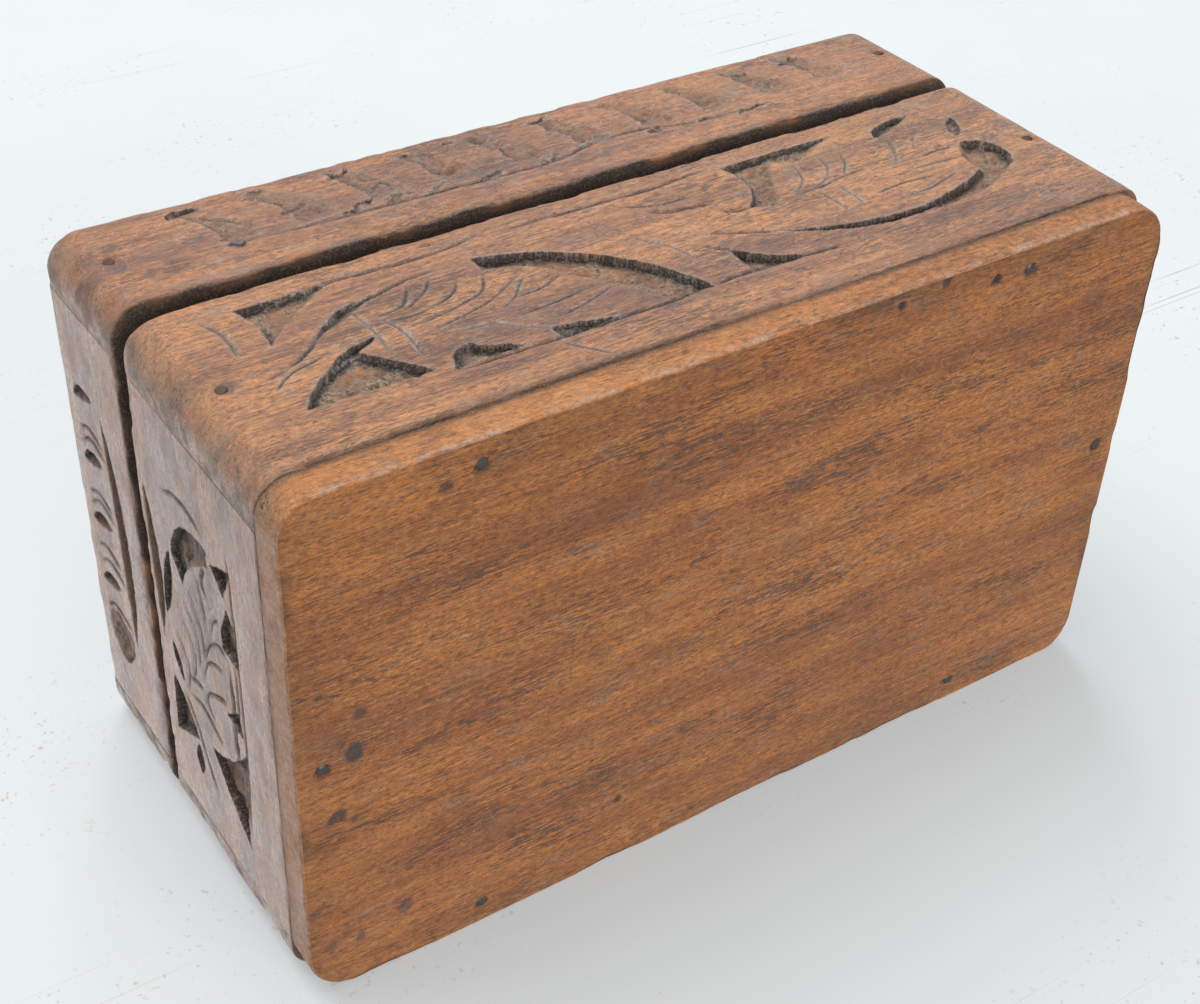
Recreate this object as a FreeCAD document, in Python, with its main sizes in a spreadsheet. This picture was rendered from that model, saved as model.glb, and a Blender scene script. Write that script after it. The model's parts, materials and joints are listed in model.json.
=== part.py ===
import FreeCAD, Part
import os

import Sketcher

# Carved wooden storage box with a hinged lid. It stands on its base, +X runs along
# the length, -Y is the carved front and the lid opens towards +Y. Sizes in millimetres.

SIZES = [
    ("box_length", 203, "outside length"),
    ("box_width", 121.6, "outside width, front to back"),
    ("corner_radius", 7.2, "rounded upright corners"),
    ("wall_thickness", 10, "all upright boards"),
    ("base_thickness", 8, "base board"),
    ("body_height", 62.5, "ground to the rim of the body"),
    ("lid_height", 30.6, "lid rim to lid top"),
    ("rim_gap", 2.65, "body rim to lid rim at the hinges"),
    ("lid_rest_angle", 1.08, "degrees that the bound hinges hold the lid open"),
    ("panel_thickness", 8, "lid panel"),
    ("rebate_width", 5, "ledge in the lid rails that carries the panel"),
    ("panel_clearance", 0.2, "panel edge to rebate"),
    ("top_round", 3, "rounding of the lid's top edge"),
    ("foot_bevel", 1.2, "bevel of the base board's lower edge"),
    ("carve_depth", 2.5, "carved recesses of the body"),
    ("lid_carve_depth", 2, "carved recesses of the lid"),
    ("nail_side", 1.6, "square shank of the forged nails"),
    ("nail_head_side", 2.4, "square nail head"),
    ("nail_head_height", 0.8, "nail head"),
    ("base_nail_length", 22, "nails through the base board"),
    ("base_nail_inset", 5.5, "base nails, from the outer edge"),
    ("base_nail_end_inset", 38.5, "base nails of the long edges, from the end"),
    ("corner_nail_length", 24, "nails through the long boards"),
    ("corner_nail_inset", 7.6, "corner nails, from the end"),
    ("corner_nail_rise", 27, "corner nails of the body, above the base board"),
    ("lid_nail_rise", 5.7, "corner nails of the lid, above the middle of the wood under the panel"),
    ("hinge_end_inset", 41.5, "hinge centres, from the end"),
    ("hinge_inset", 1, "pin axis inside the back face"),
    ("leaf_length", 26, "hinge leaf along the pin"),
    ("leaf_width", 8, "hinge leaf, pin axis to its inner edge"),
    ("leaf_thickness", 1.1, "hinge leaf"),
    ("barrel_radius", 1.9, "hinge knuckles"),
    ("lid_knuckle_length", 9, "middle knuckle, on the lid's leaf"),
    ("knuckle_gap", 0.3, "end play between knuckles"),
    ("pin_radius", 0.9, "hinge pin"),
    ("pin_clearance", 0.05, "radial play of the lid's knuckle on the pin"),
    ("notch_clearance", 0.4, "knuckles to the notches in the back rims"),
    ("screw_radius", 0.7, "leaf screw shank"),
    ("screw_head_radius", 1.4, "leaf screw head"),
    ("screw_head_height", 0.8, "leaf screw head"),
    ("screw_length", 7, "leaf screws"),
    ("screw_spacing", 16, "the two screws of a leaf"),
    ("screw_inset", 5, "screws, from the pin axis"),
]

# Recesses carved in a board, as outlines seen from outside the box. Each corner is
# (x from the board's middle, z above its lower edge), and is followed by a point that
# the curve to the next corner passes through, or None where that edge is straight.
FRONT_RECESSES = [
    [((-81, 49), None), ((-61.5, 49), (-70.5, 43.5)), ((-80, 36.5), None)],
    [((-72, 34), (-66, 38.4)), ((-58.5, 40.2), (-65, 36.6))],
    [((-84, 14), (-75, 23)), ((-64, 28), (-64, 20.5)), ((-60, 13.8), None)],
    [((-56, 12), (-50.5, 17.5)), ((-43, 12), None)],
    [((-35, 42.5), (-14, 32.5)), ((-1, 12), None), ((-10, 12), (-17.5, 30)), ((-35.5, 38.8), None)],
    [((-35, 15), None), ((-22.5, 12.2), None), ((-34.8, 11.8), None)],
    [((9.5, 21.8), (14.5, 16)), ((23, 12), None), ((9, 12.2), None)],
    [((4.5, 41), (14, 38.6)), ((21.5, 38), None), ((19.5, 33.8), (12, 36.3))],
    [((28, 48.3), None), ((38, 47), (32.5, 39)), ((29.5, 30), None), ((22.5, 32.3), (28, 39))],
    [((39.5, 47.8), None), ((55.5, 48.3), (49, 45.5)), ((45, 43), None)],
    [((64.5, 42.8), (71, 44.6)), ((77.5, 47.8), (71, 47.6)), ((66, 45.8), None)],
    [((22, 22.3), (49.5, 13.8)), ((73, 20.2), (49.5, 16.8))],
    [((76.5, 18.5), (85, 25)), ((79, 32), (75, 25))],
    [((81.5, 36), (84.5, 38)), ((85, 41.5), (82.2, 39.5))],
]
END_RECESSES = [
    [((-9.8, 50.8), (7.2, 47.6)), ((28.2, 51.8), (9.2, 52))],
    [((-33.8, 49.5), None), ((-18.3, 48.2), (-21.8, 42.2)), ((-27.8, 38), None)],
    [((-38.3, 38.8), (-33.8, 40.3)), ((-30.3, 38.2), (-33.3, 37))],
    [((-15.3, 42.8), (-12.3, 45.3)), ((-7.8, 46), (-10.8, 43.2))],
    [((-1.3, 47.2), (9.7, 46)), ((17.7, 42.2), (9.2, 43))],
    [((20.7, 40.6), (27.7, 35)), ((30.2, 24), None), ((27.2, 24), (22.2, 30.6)), ((14.2, 37.2), None)],
    [((-39.3, 16.5), (-31.3, 24.8)), ((-23.8, 31), (-19.8, 21)), ((-11.8, 13.4), None)],
    [((-6.8, 20.6), None), ((-2.8, 15.5), None), ((-8, 15), None)],
    [((10.2, 20), None), ((15.2, 19.6), None), ((21.7, 16.3), None), ((17.7, 13.6), None), ((10.2, 14), None)],
    [((29, 21.6), None), ((32.2, 13.6), None), ((24.4, 17.4), None)],
]
LID_END_BORDER = [((-25.8, 10.8), (-2.8, 7.1)), ((29.2, 12.1), (-0.8, 11.1))]
LID_END_HOLLOW = [((-36.3, 17.8), None), ((-31.3, 25.1), None), ((-27.3, 14.3), None)]
LID_END_PETAL_STARTS = [-18, -2.5, 13, 28.5]
LID_FRONT_PETAL_STARTS = [-74.5 + 16.3 * step for step in range(10)]
LID_FRONT_BORDERS = [
    [((-82, 10.8), (-41, 9.2)), ((0, 9.8), (-41, 10.6))],
    [((4, 10), (32, 9)), ((58, 9), (32, 10.4))],
]

# Carving of the lid panel, from the panel's middle.
ROSETTE_PETALS = 8
ROSETTE_REACH = (5, 18)
ROSETTE_BULGE = 2.8
PANEL_LEAF = ((23, 9), (78, 39))
LEAF_HALF_WIDTH = 10
LEAF_GROUND = 14
TIP_SPREAD = 1
END_BUD = (58, 82)
SIDE_BUD = (28, 43)
BUD_BULGE = 3

# Expressions that several pieces share.
BASE_NAIL_X = "(sizes.box_length / 2 - sizes.base_nail_end_inset)"
HINGE_Y = "(sizes.box_width / 2 - sizes.hinge_inset)"
HINGE_Z = "(sizes.body_height + sizes.rim_gap / 2)"
LID_RIM_Z = "(sizes.body_height + sizes.rim_gap)"
LID_NAIL_RISE = "((sizes.lid_height - sizes.panel_thickness) / 2 + sizes.lid_nail_rise)"
BODY_BOARD_HEIGHT = "(sizes.body_height - sizes.base_thickness)"
INNER_WIDTH = "(sizes.box_width - 2 * sizes.wall_thickness)"
INNER_LENGTH = "(sizes.box_length - 2 * sizes.wall_thickness)"
NOTCH_RADIUS = "(sizes.barrel_radius + sizes.notch_clearance)"
NOTCH_DEPTH = "(%s - sizes.rim_gap / 2)" % NOTCH_RADIUS
NOTCH_REACH = "(%s + sizes.hinge_inset)" % NOTCH_RADIUS
NOTCH_HALF = "(sizes.leaf_length / 2 + sizes.notch_clearance)"
UPRIGHT = "vector(0; 0; 1)"
LID_TILT = (
    "placement(vector(0; 0; 0); rotation(vector(-1; 0; 0); sizes.lid_rest_angle);"
    " vector(0; %s; %s))" % (HINGE_Y, HINGE_Z)
)

# How near a point has to be to an edge or a face to lie on it.
TOLERANCE = 1e-4

doc = FreeCAD.newDocument("storage_box")
sizes = doc.addObject("Spreadsheet::Sheet", "sizes")
nodes = []


def fill_sheet():
    """Write every driving size into the sheet under its own name."""
    for row, (alias, value, note) in enumerate(SIZES, start=1):
        sizes.set("A%d" % row, alias)
        sizes.set("B%d" % row, str(value))
        sizes.set("C%d" % row, note)
        sizes.setAlias("B%d" % row, alias)
    doc.recompute()


def number(expression):
    """Value of an expression in the sizes."""
    return float(sizes.evalExpression(expression))


def turned_place(x, y, z, angle):
    """Placement expression: a point, and a turn about the upright axis in degrees."""
    return "placement(vector(%s; %s; %s); rotation(%s; %s))" % (x, y, z, UPRIGHT, angle)


def new_body(name, place):
    """Start a solid with its own placement."""
    body = doc.addObject("PartDesign::Body", name)
    body.Label = name
    body.setExpression("Placement", place)
    nodes.append(body)
    return body


def sketch_on(body, plane, name, lift=None):
    """Sketch on one of the body's own planes, lifted along the plane's normal."""
    sketch = body.newObject("Sketcher::SketchObject", name)
    support = [item for item in body.Origin.OriginFeatures if item.Role == plane]
    sketch.AttachmentSupport = [(support[0], "")]
    sketch.MapMode = "FlatFace"
    if lift:
        sketch.setExpression("AttachmentOffset.Base.z", lift)
    return sketch


def pin_point(sketch, geometry, vertex, x_text, y_text):
    """Hold a vertex at a place given by expressions, measured from the sketch's origin."""
    for kind, text in (("DistanceX", x_text), ("DistanceY", y_text)):
        value = number(text)
        if abs(value) < TOLERANCE:
            axis = -2 if kind == "DistanceX" else -1
            sketch.addConstraint(Sketcher.Constraint("PointOnObject", geometry, vertex, axis))
            continue
        if value > 0:
            index = sketch.addConstraint(Sketcher.Constraint(kind, -1, 1, geometry, vertex, value))
            sketch.setExpression("Constraints[%d]" % index, text)
        else:
            index = sketch.addConstraint(Sketcher.Constraint(kind, geometry, vertex, -1, 1, -value))
            sketch.setExpression("Constraints[%d]" % index, "-(%s)" % text)


def add_rectangle(sketch, x_low, x_high, y_low, y_high):
    """Rectangle between four expressions."""
    left, right, low, high = number(x_low), number(x_high), number(y_low), number(y_high)
    corners = [(left, low), (right, low), (right, high), (left, high)]
    points = [FreeCAD.Vector(x, y, 0) for x, y in corners]
    first = sketch.GeometryCount
    for index in range(4):
        sketch.addGeometry(Part.LineSegment(points[index], points[(index + 1) % 4]), False)
    for index in range(4):
        following = first + (index + 1) % 4
        sketch.addConstraint(Sketcher.Constraint("Coincident", first + index, 2, following, 1))
    for index, direction in enumerate(("Horizontal", "Vertical", "Horizontal", "Vertical")):
        sketch.addConstraint(Sketcher.Constraint(direction, first + index))
    pin_point(sketch, first, 1, x_low, y_low)
    pin_point(sketch, first + 1, 2, x_high, y_high)


def add_circle(sketch, x_text, y_text, radius_text):
    """Circle with its centre and radius given by expressions."""
    centre = FreeCAD.Vector(number(x_text), number(y_text), 0)
    circle = Part.Circle(centre, FreeCAD.Vector(0, 0, 1), number(radius_text))
    index = sketch.addGeometry(circle, False)
    pin_point(sketch, index, 3, x_text, y_text)
    radius = sketch.addConstraint(Sketcher.Constraint("Radius", index, number(radius_text)))
    sketch.setExpression("Constraints[%d]" % radius, radius_text)


def add_square(sketch, x_text, y_text, side_text):
    """Square with its centre and side given by expressions."""
    half = "%s / 2" % side_text
    x_ends = ["(%s %s %s)" % (x_text, sign, half) for sign in "-+"]
    y_ends = ["(%s %s %s)" % (y_text, sign, half) for sign in "-+"]
    add_rectangle(sketch, *x_ends, *y_ends)


def add_outline(sketch, outline, mirror=1):
    """Closed outline of straight edges and three-point arcs."""
    corners = [corner for corner, _ in outline]
    for index, (start, through) in enumerate(outline):
        end = corners[(index + 1) % len(outline)]
        ends = [FreeCAD.Vector(mirror * x, z, 0) for x, z in (start, end)]
        if through is None:
            edge = Part.LineSegment(ends[0], ends[1])
        else:
            middle = FreeCAD.Vector(mirror * through[0], through[1], 0)
            edge = Part.Arc(ends[0], middle, ends[1])
        geometry = sketch.addGeometry(edge, False)
        sketch.addConstraint(Sketcher.Constraint("Block", geometry))


def pad(body, sketch, height, name, downwards=False):
    """Raise a solid from a sketch."""
    feature = body.newObject("PartDesign::Pad", name)
    feature.Profile = sketch
    feature.setExpression("Length", height)
    feature.Reversed = downwards
    doc.recompute()
    return feature


def pocket(body, sketch, depth, name, upwards=False):
    """Cut a sketch into the solid, and make sure that it cut."""
    before = body.Shape.Volume
    feature = body.newObject("PartDesign::Pocket", name)
    feature.Profile = sketch
    feature.setExpression("Length", depth)
    feature.Reversed = upwards
    doc.recompute()
    if body.Shape.Volume > before - 1e-6:
        raise ValueError("%s of %s cut nothing" % (name, body.Label))
    return feature


def carve(body, plane, outlines, depth, name, mirror=1):
    """Carve a set of recesses from one face."""
    sketch = sketch_on(body, plane, name + "_outlines")
    for outline in outlines:
        add_outline(sketch, outline, mirror)
    pocket(body, sketch, depth, name)


def dress_edges(body, kind, size, name, wanted):
    """Fillet or chamfer the edges whose middle and ends are wanted."""
    tip = body.Tip
    names = []
    for index, edge in enumerate(tip.Shape.Edges, start=1):
        middle = edge.valueAt((edge.FirstParameter + edge.LastParameter) / 2)
        ends = [vertex.Point for vertex in edge.Vertexes]
        if all(wanted(point) for point in [middle] + ends):
            names.append("Edge%d" % index)
    if not names:
        raise ValueError("no edge for the %s of %s" % (kind, body.Label))
    feature = body.newObject("PartDesign::" + kind, name)
    feature.Base = (tip, names)
    feature.setExpression("Radius" if kind == "Fillet" else "Size", size)
    doc.recompute()


def add_long_plan(sketch):
    """Plan of a long board: outer face on the X axis, its two outer corners rounded."""
    half = number("sizes.box_length") / 2
    depth = number("sizes.wall_thickness")
    radius = number("sizes.corner_radius")
    up = FreeCAD.Vector(0, 0, 1)
    straight = [
        ((half - radius, 0), (-half + radius, 0)),
        ((-half, radius), (-half, depth)),
        ((-half, depth), (half, depth)),
        ((half, depth), (half, radius)),
    ]
    for start, end in straight:
        sketch.addGeometry(Part.LineSegment(FreeCAD.Vector(*start, 0), FreeCAD.Vector(*end, 0)), False)
    for x, low, high in ((-half + radius, 180, 270), (half - radius, 270, 360)):
        circle = Part.Circle(FreeCAD.Vector(x, radius, 0), up, radius)
        low_angle, high_angle = FreeCAD.Units.Quantity(low, "deg"), FreeCAD.Units.Quantity(high, "deg")
        arc = Part.ArcOfCircle(circle, low_angle.getValueAs("rad"), high_angle.getValueAs("rad"))
        sketch.addGeometry(arc, False)
    face, left, inner, right, left_arc, right_arc = range(6)
    for first, first_end, second, second_end in (
        (face, 2, left_arc, 2),
        (left_arc, 1, left, 1),
        (right, 2, right_arc, 2),
        (right_arc, 1, face, 1),
    ):
        sketch.addConstraint(Sketcher.Constraint("Tangent", first, first_end, second, second_end))
    sketch.addConstraint(Sketcher.Constraint("Coincident", left, 2, inner, 1))
    sketch.addConstraint(Sketcher.Constraint("Coincident", inner, 2, right, 1))
    sketch.addConstraint(Sketcher.Constraint("Horizontal", inner))
    sketch.addConstraint(Sketcher.Constraint("Vertical", left))
    sketch.addConstraint(Sketcher.Constraint("Vertical", right))
    sketch.addConstraint(Sketcher.Constraint("PointOnObject", face, 1, -1))
    sketch.addConstraint(Sketcher.Constraint("PointOnObject", face, 2, -1))
    sketch.addConstraint(Sketcher.Constraint("Equal", left_arc, right_arc))
    index = sketch.addConstraint(Sketcher.Constraint("Radius", left_arc, radius))
    sketch.setExpression("Constraints[%d]" % index, "sizes.corner_radius")
    pin_point(sketch, inner, 1, "-sizes.box_length / 2", "sizes.wall_thickness")
    index = sketch.addConstraint(Sketcher.Constraint("DistanceX", inner, 1, inner, 2, 2 * half))
    sketch.setExpression("Constraints[%d]" % index, "sizes.box_length")


def long_board(name, place, height):
    """Board of the front or back, over the full length of the box."""
    body = new_body(name, place)
    sketch = sketch_on(body, "XY_Plane", name + "_plan")
    add_long_plan(sketch)
    pad(body, sketch, height, name + "_board")
    return body


def end_board(name, place, height):
    """Board of an end, between the long boards."""
    body = new_body(name, place)
    sketch = sketch_on(body, "XY_Plane", name + "_plan")
    half = INNER_WIDTH + " / 2"
    add_rectangle(sketch, "-" + half, half, "0", "sizes.wall_thickness")
    pad(body, sketch, height, name + "_board")
    return body


def nail_holes_below(body, name, points, side, depth):
    """Square holes from the board's lower face."""
    sketch = sketch_on(body, "XY_Plane", name + "_squares")
    for x_text, y_text in points:
        add_square(sketch, x_text, y_text, side)
    pocket(body, sketch, depth, name, upwards=True)


def nail_holes_in_face(body, name, points, side, depth):
    """Square holes from the board's outer face."""
    sketch = sketch_on(body, "XZ_Plane", name + "_squares")
    for x_text, z_text in points:
        add_square(sketch, x_text, z_text, side)
    pocket(body, sketch, depth, name)


def screw_holes(body, name, height=None):
    """Blind round holes in a back rim: the upper rim if a height is given."""
    sketch = sketch_on(body, "XY_Plane", name + "_centres", height)
    for x_text, y_text in screw_points():
        add_circle(sketch, x_text, y_text, "sizes.screw_radius")
    pocket(body, sketch, "sizes.screw_length - sizes.leaf_thickness", name, upwards=height is None)


def nail_holes_in_ends(body, name, points, depth):
    """Blind nail holes in both ends of an end board."""
    for side, sign in (("left", "-"), ("right", "")):
        lift = "%s(%s / 2)" % (sign, INNER_WIDTH)
        sketch = sketch_on(body, "YZ_Plane", "%s_%s_squares" % (name, side), lift)
        for y_text, z_text in points:
            add_square(sketch, y_text, z_text, "sizes.nail_side")
        pocket(body, sketch, depth, "%s_%s" % (name, side), upwards=sign == "-")


def corner_nail_points(rise):
    """Centres of the two corner nails on a long board's face."""
    across = "(sizes.box_length / 2 - sizes.corner_nail_inset)"
    return [("-" + across, rise), (across, rise)]


def nail_face(body, rise):
    """Through holes and head recesses of the corner nails in a long board."""
    points = corner_nail_points(rise)
    nail_holes_in_face(body, body.Label + "_nail_hole", points, "sizes.nail_side", "sizes.wall_thickness")
    nail_holes_in_face(body, body.Label + "_nail_seat", points, "sizes.nail_head_side", "sizes.nail_head_height")


def nail_board_ends(body, rise):
    """Holes for the corner nails in an end board."""
    depth = "sizes.corner_nail_length - sizes.wall_thickness"
    nail_holes_in_ends(body, body.Label + "_nail_hole", [("sizes.corner_nail_inset", rise)], depth)


def hinge_centres():
    """Middle of each hinge along the length, left then right."""
    along = "(sizes.box_length / 2 - sizes.hinge_end_inset)"
    return ["-" + along, along]


def screw_points():
    """Screw centres in the plan of a back board: along the board, then in from its face."""
    inset = "(sizes.screw_inset + sizes.hinge_inset)"
    points = []
    for centre in hinge_centres():
        for sign in ("-", "+"):
            points.append(("(%s %s sizes.screw_spacing / 2)" % (centre, sign), inset))
    return points


def notch_for_hinges(body, height=None):
    """Notches for the knuckles in a back rim: the upper rim if a height is given."""
    sketch = sketch_on(body, "XY_Plane", body.Label + "_notch_plan", height)
    for centre in hinge_centres():
        low = "(%s - %s)" % (centre, NOTCH_HALF)
        high = "(%s + %s)" % (centre, NOTCH_HALF)
        add_rectangle(sketch, low, high, "0", NOTCH_REACH)
    pocket(body, sketch, NOTCH_DEPTH, body.Label + "_notch", upwards=height is None)


def base_nail_points():
    """Centres of the base nails in plan: two along each long edge and one at each end."""
    along = BASE_NAIL_X
    across = "(sizes.box_width / 2 - sizes.base_nail_inset)"
    end = "(sizes.box_length / 2 - sizes.base_nail_inset)"
    points = [(sign + along, side + across) for sign in ("-", "") for side in ("-", "")]
    return points + [("-" + end, "0"), (end, "0")]


def build_base():
    """Base board under all four walls."""
    body = new_body("base_board", "placement(vector(0; 0; 0); rotation(%s; 0))" % UPRIGHT)
    sketch = sketch_on(body, "XY_Plane", "base_plan")
    half_x, half_y = "sizes.box_length / 2", "sizes.box_width / 2"
    add_rectangle(sketch, "-" + half_x, half_x, "-" + half_y, half_y)
    pad(body, sketch, "sizes.base_thickness", "base_slab")
    edge_x, edge_y = number(half_x), number(half_y)

    def on_corner(point):
        return abs(point.x) > edge_x - TOLERANCE and abs(point.y) > edge_y - TOLERANCE

    def on_lower_rim(point):
        beyond_x = abs(point.x) > edge_x - number("sizes.corner_radius") - TOLERANCE
        beyond_y = abs(point.y) > edge_y - number("sizes.corner_radius") - TOLERANCE
        return abs(point.z) < TOLERANCE and (beyond_x or beyond_y)

    dress_edges(body, "Fillet", "sizes.corner_radius", "base_corners", on_corner)
    dress_edges(body, "Chamfer", "sizes.foot_bevel", "base_foot_bevel", on_lower_rim)
    nail_holes_below(body, "base_nail_hole", base_nail_points(), "sizes.nail_side", "sizes.base_thickness")
    nail_holes_below(body, "base_nail_seat", base_nail_points(), "sizes.nail_head_side", "sizes.nail_head_height")


def build_body_boards():
    """The four upright boards of the body."""
    seam = "sizes.base_thickness"
    half_x, half_y = "sizes.box_length / 2", "sizes.box_width / 2"
    nail_depth = "sizes.base_nail_length - sizes.base_thickness"
    long_nails = [(sign + BASE_NAIL_X, "sizes.base_nail_inset") for sign in ("-", "")]

    front = long_board("front_board", turned_place("0", "-" + half_y, seam, 0), BODY_BOARD_HEIGHT)
    carve(front, "XZ_Plane", FRONT_RECESSES, "sizes.carve_depth", "front_carving")
    back = long_board("back_board", turned_place("0", half_y, seam, 180), BODY_BOARD_HEIGHT)
    notch_for_hinges(back, BODY_BOARD_HEIGHT)
    screw_holes(back, "back_screw_hole", BODY_BOARD_HEIGHT)
    for board in (front, back):
        nail_face(board, "sizes.corner_nail_rise")
        nail_holes_below(board, board.Label + "_base_nail", long_nails, "sizes.nail_side", nail_depth)

    left = end_board("left_end_board", turned_place("-" + half_x, "0", seam, -90), BODY_BOARD_HEIGHT)
    right = end_board("right_end_board", turned_place(half_x, "0", seam, 90), BODY_BOARD_HEIGHT)
    for board, mirror in ((left, 1), (right, -1)):
        carve(board, "XZ_Plane", END_RECESSES, "sizes.carve_depth", board.Label + "_carving", mirror)
        nail_board_ends(board, "sizes.corner_nail_rise")
        end_nail = [("0", "sizes.base_nail_inset")]
        nail_holes_below(board, board.Label + "_base_nail", end_nail, "sizes.nail_side", nail_depth)


def petal(start):
    """One slanting crescent between two petals of the lid's border."""
    return [((start - 1, 24.8), (start + 3.8, 19.3)), ((start + 3.2, 14.2), (start + 1, 19.8))]


def cut_panel_rebate(rail, half_length):
    """Ledge along the inner top edge of a lid rail."""
    sketch = sketch_on(rail, "XY_Plane", rail.Label + "_rebate_plan", "sizes.lid_height")
    inner = "(sizes.wall_thickness - sizes.rebate_width)"
    add_rectangle(sketch, "-" + half_length, half_length, inner, "sizes.wall_thickness")
    pocket(rail, sketch, "sizes.panel_thickness", rail.Label + "_rebate")


def round_lid_top(rail):
    """Round a rail's top edge on its outer side."""
    ledge = number("sizes.wall_thickness - sizes.rebate_width")
    height = number("sizes.lid_height")
    half = number("sizes.box_length / 2")
    radius = number("sizes.corner_radius")

    def on_top_edge(point):
        on_end = abs(abs(point.x) - half) < TOLERANCE
        on_face = point.y < min(ledge - TOLERANCE, radius + TOLERANCE)
        return abs(point.z - height) < TOLERANCE and (on_end or on_face)

    dress_edges(rail, "Fillet", "sizes.top_round", rail.Label + "_top_round", on_top_edge)


def build_lid():
    """The four rails of the lid and the panel between them, held open by the hinges."""
    half_x, half_y = "sizes.box_length / 2", "sizes.box_width / 2"

    def lid_place(x, y, angle):
        return LID_TILT + " * " + turned_place(x, y, LID_RIM_Z, angle)

    panel_half_x = "(%s / 2 + sizes.rebate_width)" % INNER_LENGTH
    panel_half_y = "(%s / 2 + sizes.rebate_width)" % INNER_WIDTH
    front = long_board("lid_front_rail", lid_place("0", "-" + half_y, 0), "sizes.lid_height")
    back = long_board("lid_back_rail", lid_place("0", half_y, 180), "sizes.lid_height")
    for rail in (front, back):
        cut_panel_rebate(rail, panel_half_x)
        round_lid_top(rail)
        nail_face(rail, LID_NAIL_RISE)
    front_petals = [petal(start) for start in LID_FRONT_PETAL_STARTS]
    carve(front, "XZ_Plane", front_petals + LID_FRONT_BORDERS, "sizes.lid_carve_depth", "lid_front_carving")
    notch_for_hinges(back)
    screw_holes(back, "lid_screw_hole")

    left = end_board("lid_left_rail", lid_place("-" + half_x, "0", -90), "sizes.lid_height")
    right = end_board("lid_right_rail", lid_place(half_x, "0", 90), "sizes.lid_height")
    end_outlines = [petal(start) for start in LID_END_PETAL_STARTS] + [LID_END_BORDER, LID_END_HOLLOW]
    for rail, mirror in ((left, 1), (right, -1)):
        cut_panel_rebate(rail, "(%s / 2)" % INNER_WIDTH)
        round_lid_top(rail)
        carve(rail, "XZ_Plane", end_outlines, "sizes.lid_carve_depth", rail.Label + "_carving", mirror)
        nail_board_ends(rail, LID_NAIL_RISE)

    top = LID_RIM_Z + " + sizes.lid_height"
    panel = new_body("lid_panel", LID_TILT + " * placement(vector(0; 0; %s); rotation(%s; 0))" % (top, UPRIGHT))
    sketch = sketch_on(panel, "XY_Plane", "panel_plan")
    edge_x = "(%s - sizes.panel_clearance)" % panel_half_x
    edge_y = "(%s - sizes.panel_clearance)" % panel_half_y
    add_rectangle(sketch, "-" + edge_x, edge_x, "-" + edge_y, edge_y)
    pad(panel, sketch, "sizes.panel_thickness", "panel_board", downwards=True)
    carve(panel, "XY_Plane", panel_recesses(), "sizes.lid_carve_depth", "panel_carving")


def lens(start, end, bulge):
    """Pointed oval between two points, bulging to both sides."""
    spine = end - start
    across = FreeCAD.Vector(-spine.y, spine.x, 0).normalize() * bulge
    middle = start + spine * 0.5
    points = [start, middle + across, end, middle - across]
    flat = [(point.x, point.y) for point in points]
    return [(flat[0], flat[1]), (flat[2], flat[3])]


def beside_leaf(start, end, side, inner, outer):
    """Crescent of cleared ground along one edge of a leaf."""
    spine = end - start
    across = FreeCAD.Vector(-spine.y, spine.x, 0).normalize() * side
    middle = start + spine * 0.5
    tips = [start + across * TIP_SPREAD, end + across * TIP_SPREAD]
    points = [tips[0], middle + across * outer, tips[1], middle + across * inner]
    flat = [(point.x, point.y) for point in points]
    return [(flat[0], flat[1]), (flat[2], flat[3])]


def panel_recesses():
    """Rosette in the middle of the lid panel, buds round it and a leaf towards each corner."""
    outlines = []
    for step in range(ROSETTE_PETALS):
        turn = FreeCAD.Rotation(FreeCAD.Vector(0, 0, 1), 360 / ROSETTE_PETALS * step)
        petal_ends = [turn.multVec(FreeCAD.Vector(x, 0, 0)) for x in ROSETTE_REACH]
        outlines.append(lens(petal_ends[0], petal_ends[1], ROSETTE_BULGE))
    for sign_x in (1, -1):
        outlines.append(lens(*[FreeCAD.Vector(sign_x * x, 0, 0) for x in END_BUD], BUD_BULGE))
        outlines.append(lens(*[FreeCAD.Vector(0, sign_x * y, 0) for y in SIDE_BUD], BUD_BULGE))
        for sign_y in (1, -1):
            ends = [FreeCAD.Vector(sign_x * x, sign_y * y, 0) for x, y in PANEL_LEAF]
            for side in (1, -1):
                outlines.append(beside_leaf(ends[0], ends[1], side, LEAF_HALF_WIDTH, LEAF_GROUND))
    return outlines


def bound(kind, name, **expressions):
    """Primitive with its sizes bound to the sheet; sizes are given as name_part=text."""
    item = doc.addObject(kind, name)
    for key, text in expressions.items():
        item.setExpression(key, text)
    return item


def rod(name, radius, length, place):
    """Round bar, along the Z axis of its placement."""
    item = bound("Part::Cylinder", name, Radius=radius, Height=length)
    item.setExpression("Placement", place)
    return item


def cone(name, low_radius, high_radius, height, place):
    """Tapered bar, along the Z axis of its placement."""
    item = bound("Part::Cone", name, Radius1=low_radius, Radius2=high_radius, Height=height)
    item.setExpression("Placement", place)
    return item


def slab(name, length, width, height, place):
    """Plate with a corner at its placement."""
    item = bound("Part::Box", name, Length=length, Width=width, Height=height)
    item.setExpression("Placement", place)
    return item


def fuse(name, pieces):
    """One solid from several pieces."""
    item = doc.addObject("Part::MultiFuse", name)
    item.Shapes = pieces
    item.Refine = True
    return item


def cut(name, base, tool):
    """A piece with another taken away."""
    item = doc.addObject("Part::Cut", name)
    item.Base = base
    item.Tool = tool
    return item


def place_text(x, y, z, axis="vector(0; 0; 1)", angle="0"):
    """Placement expression: a point and a turn."""
    return "placement(vector(%s; %s; %s); rotation(%s; %s))" % (x, y, z, axis, angle)


def finish_node(item, name, place=None):
    """Take an object as a node of the part."""
    item.Label = name
    if place:
        item.setExpression("Placement", place)
    nodes.append(item)


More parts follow.
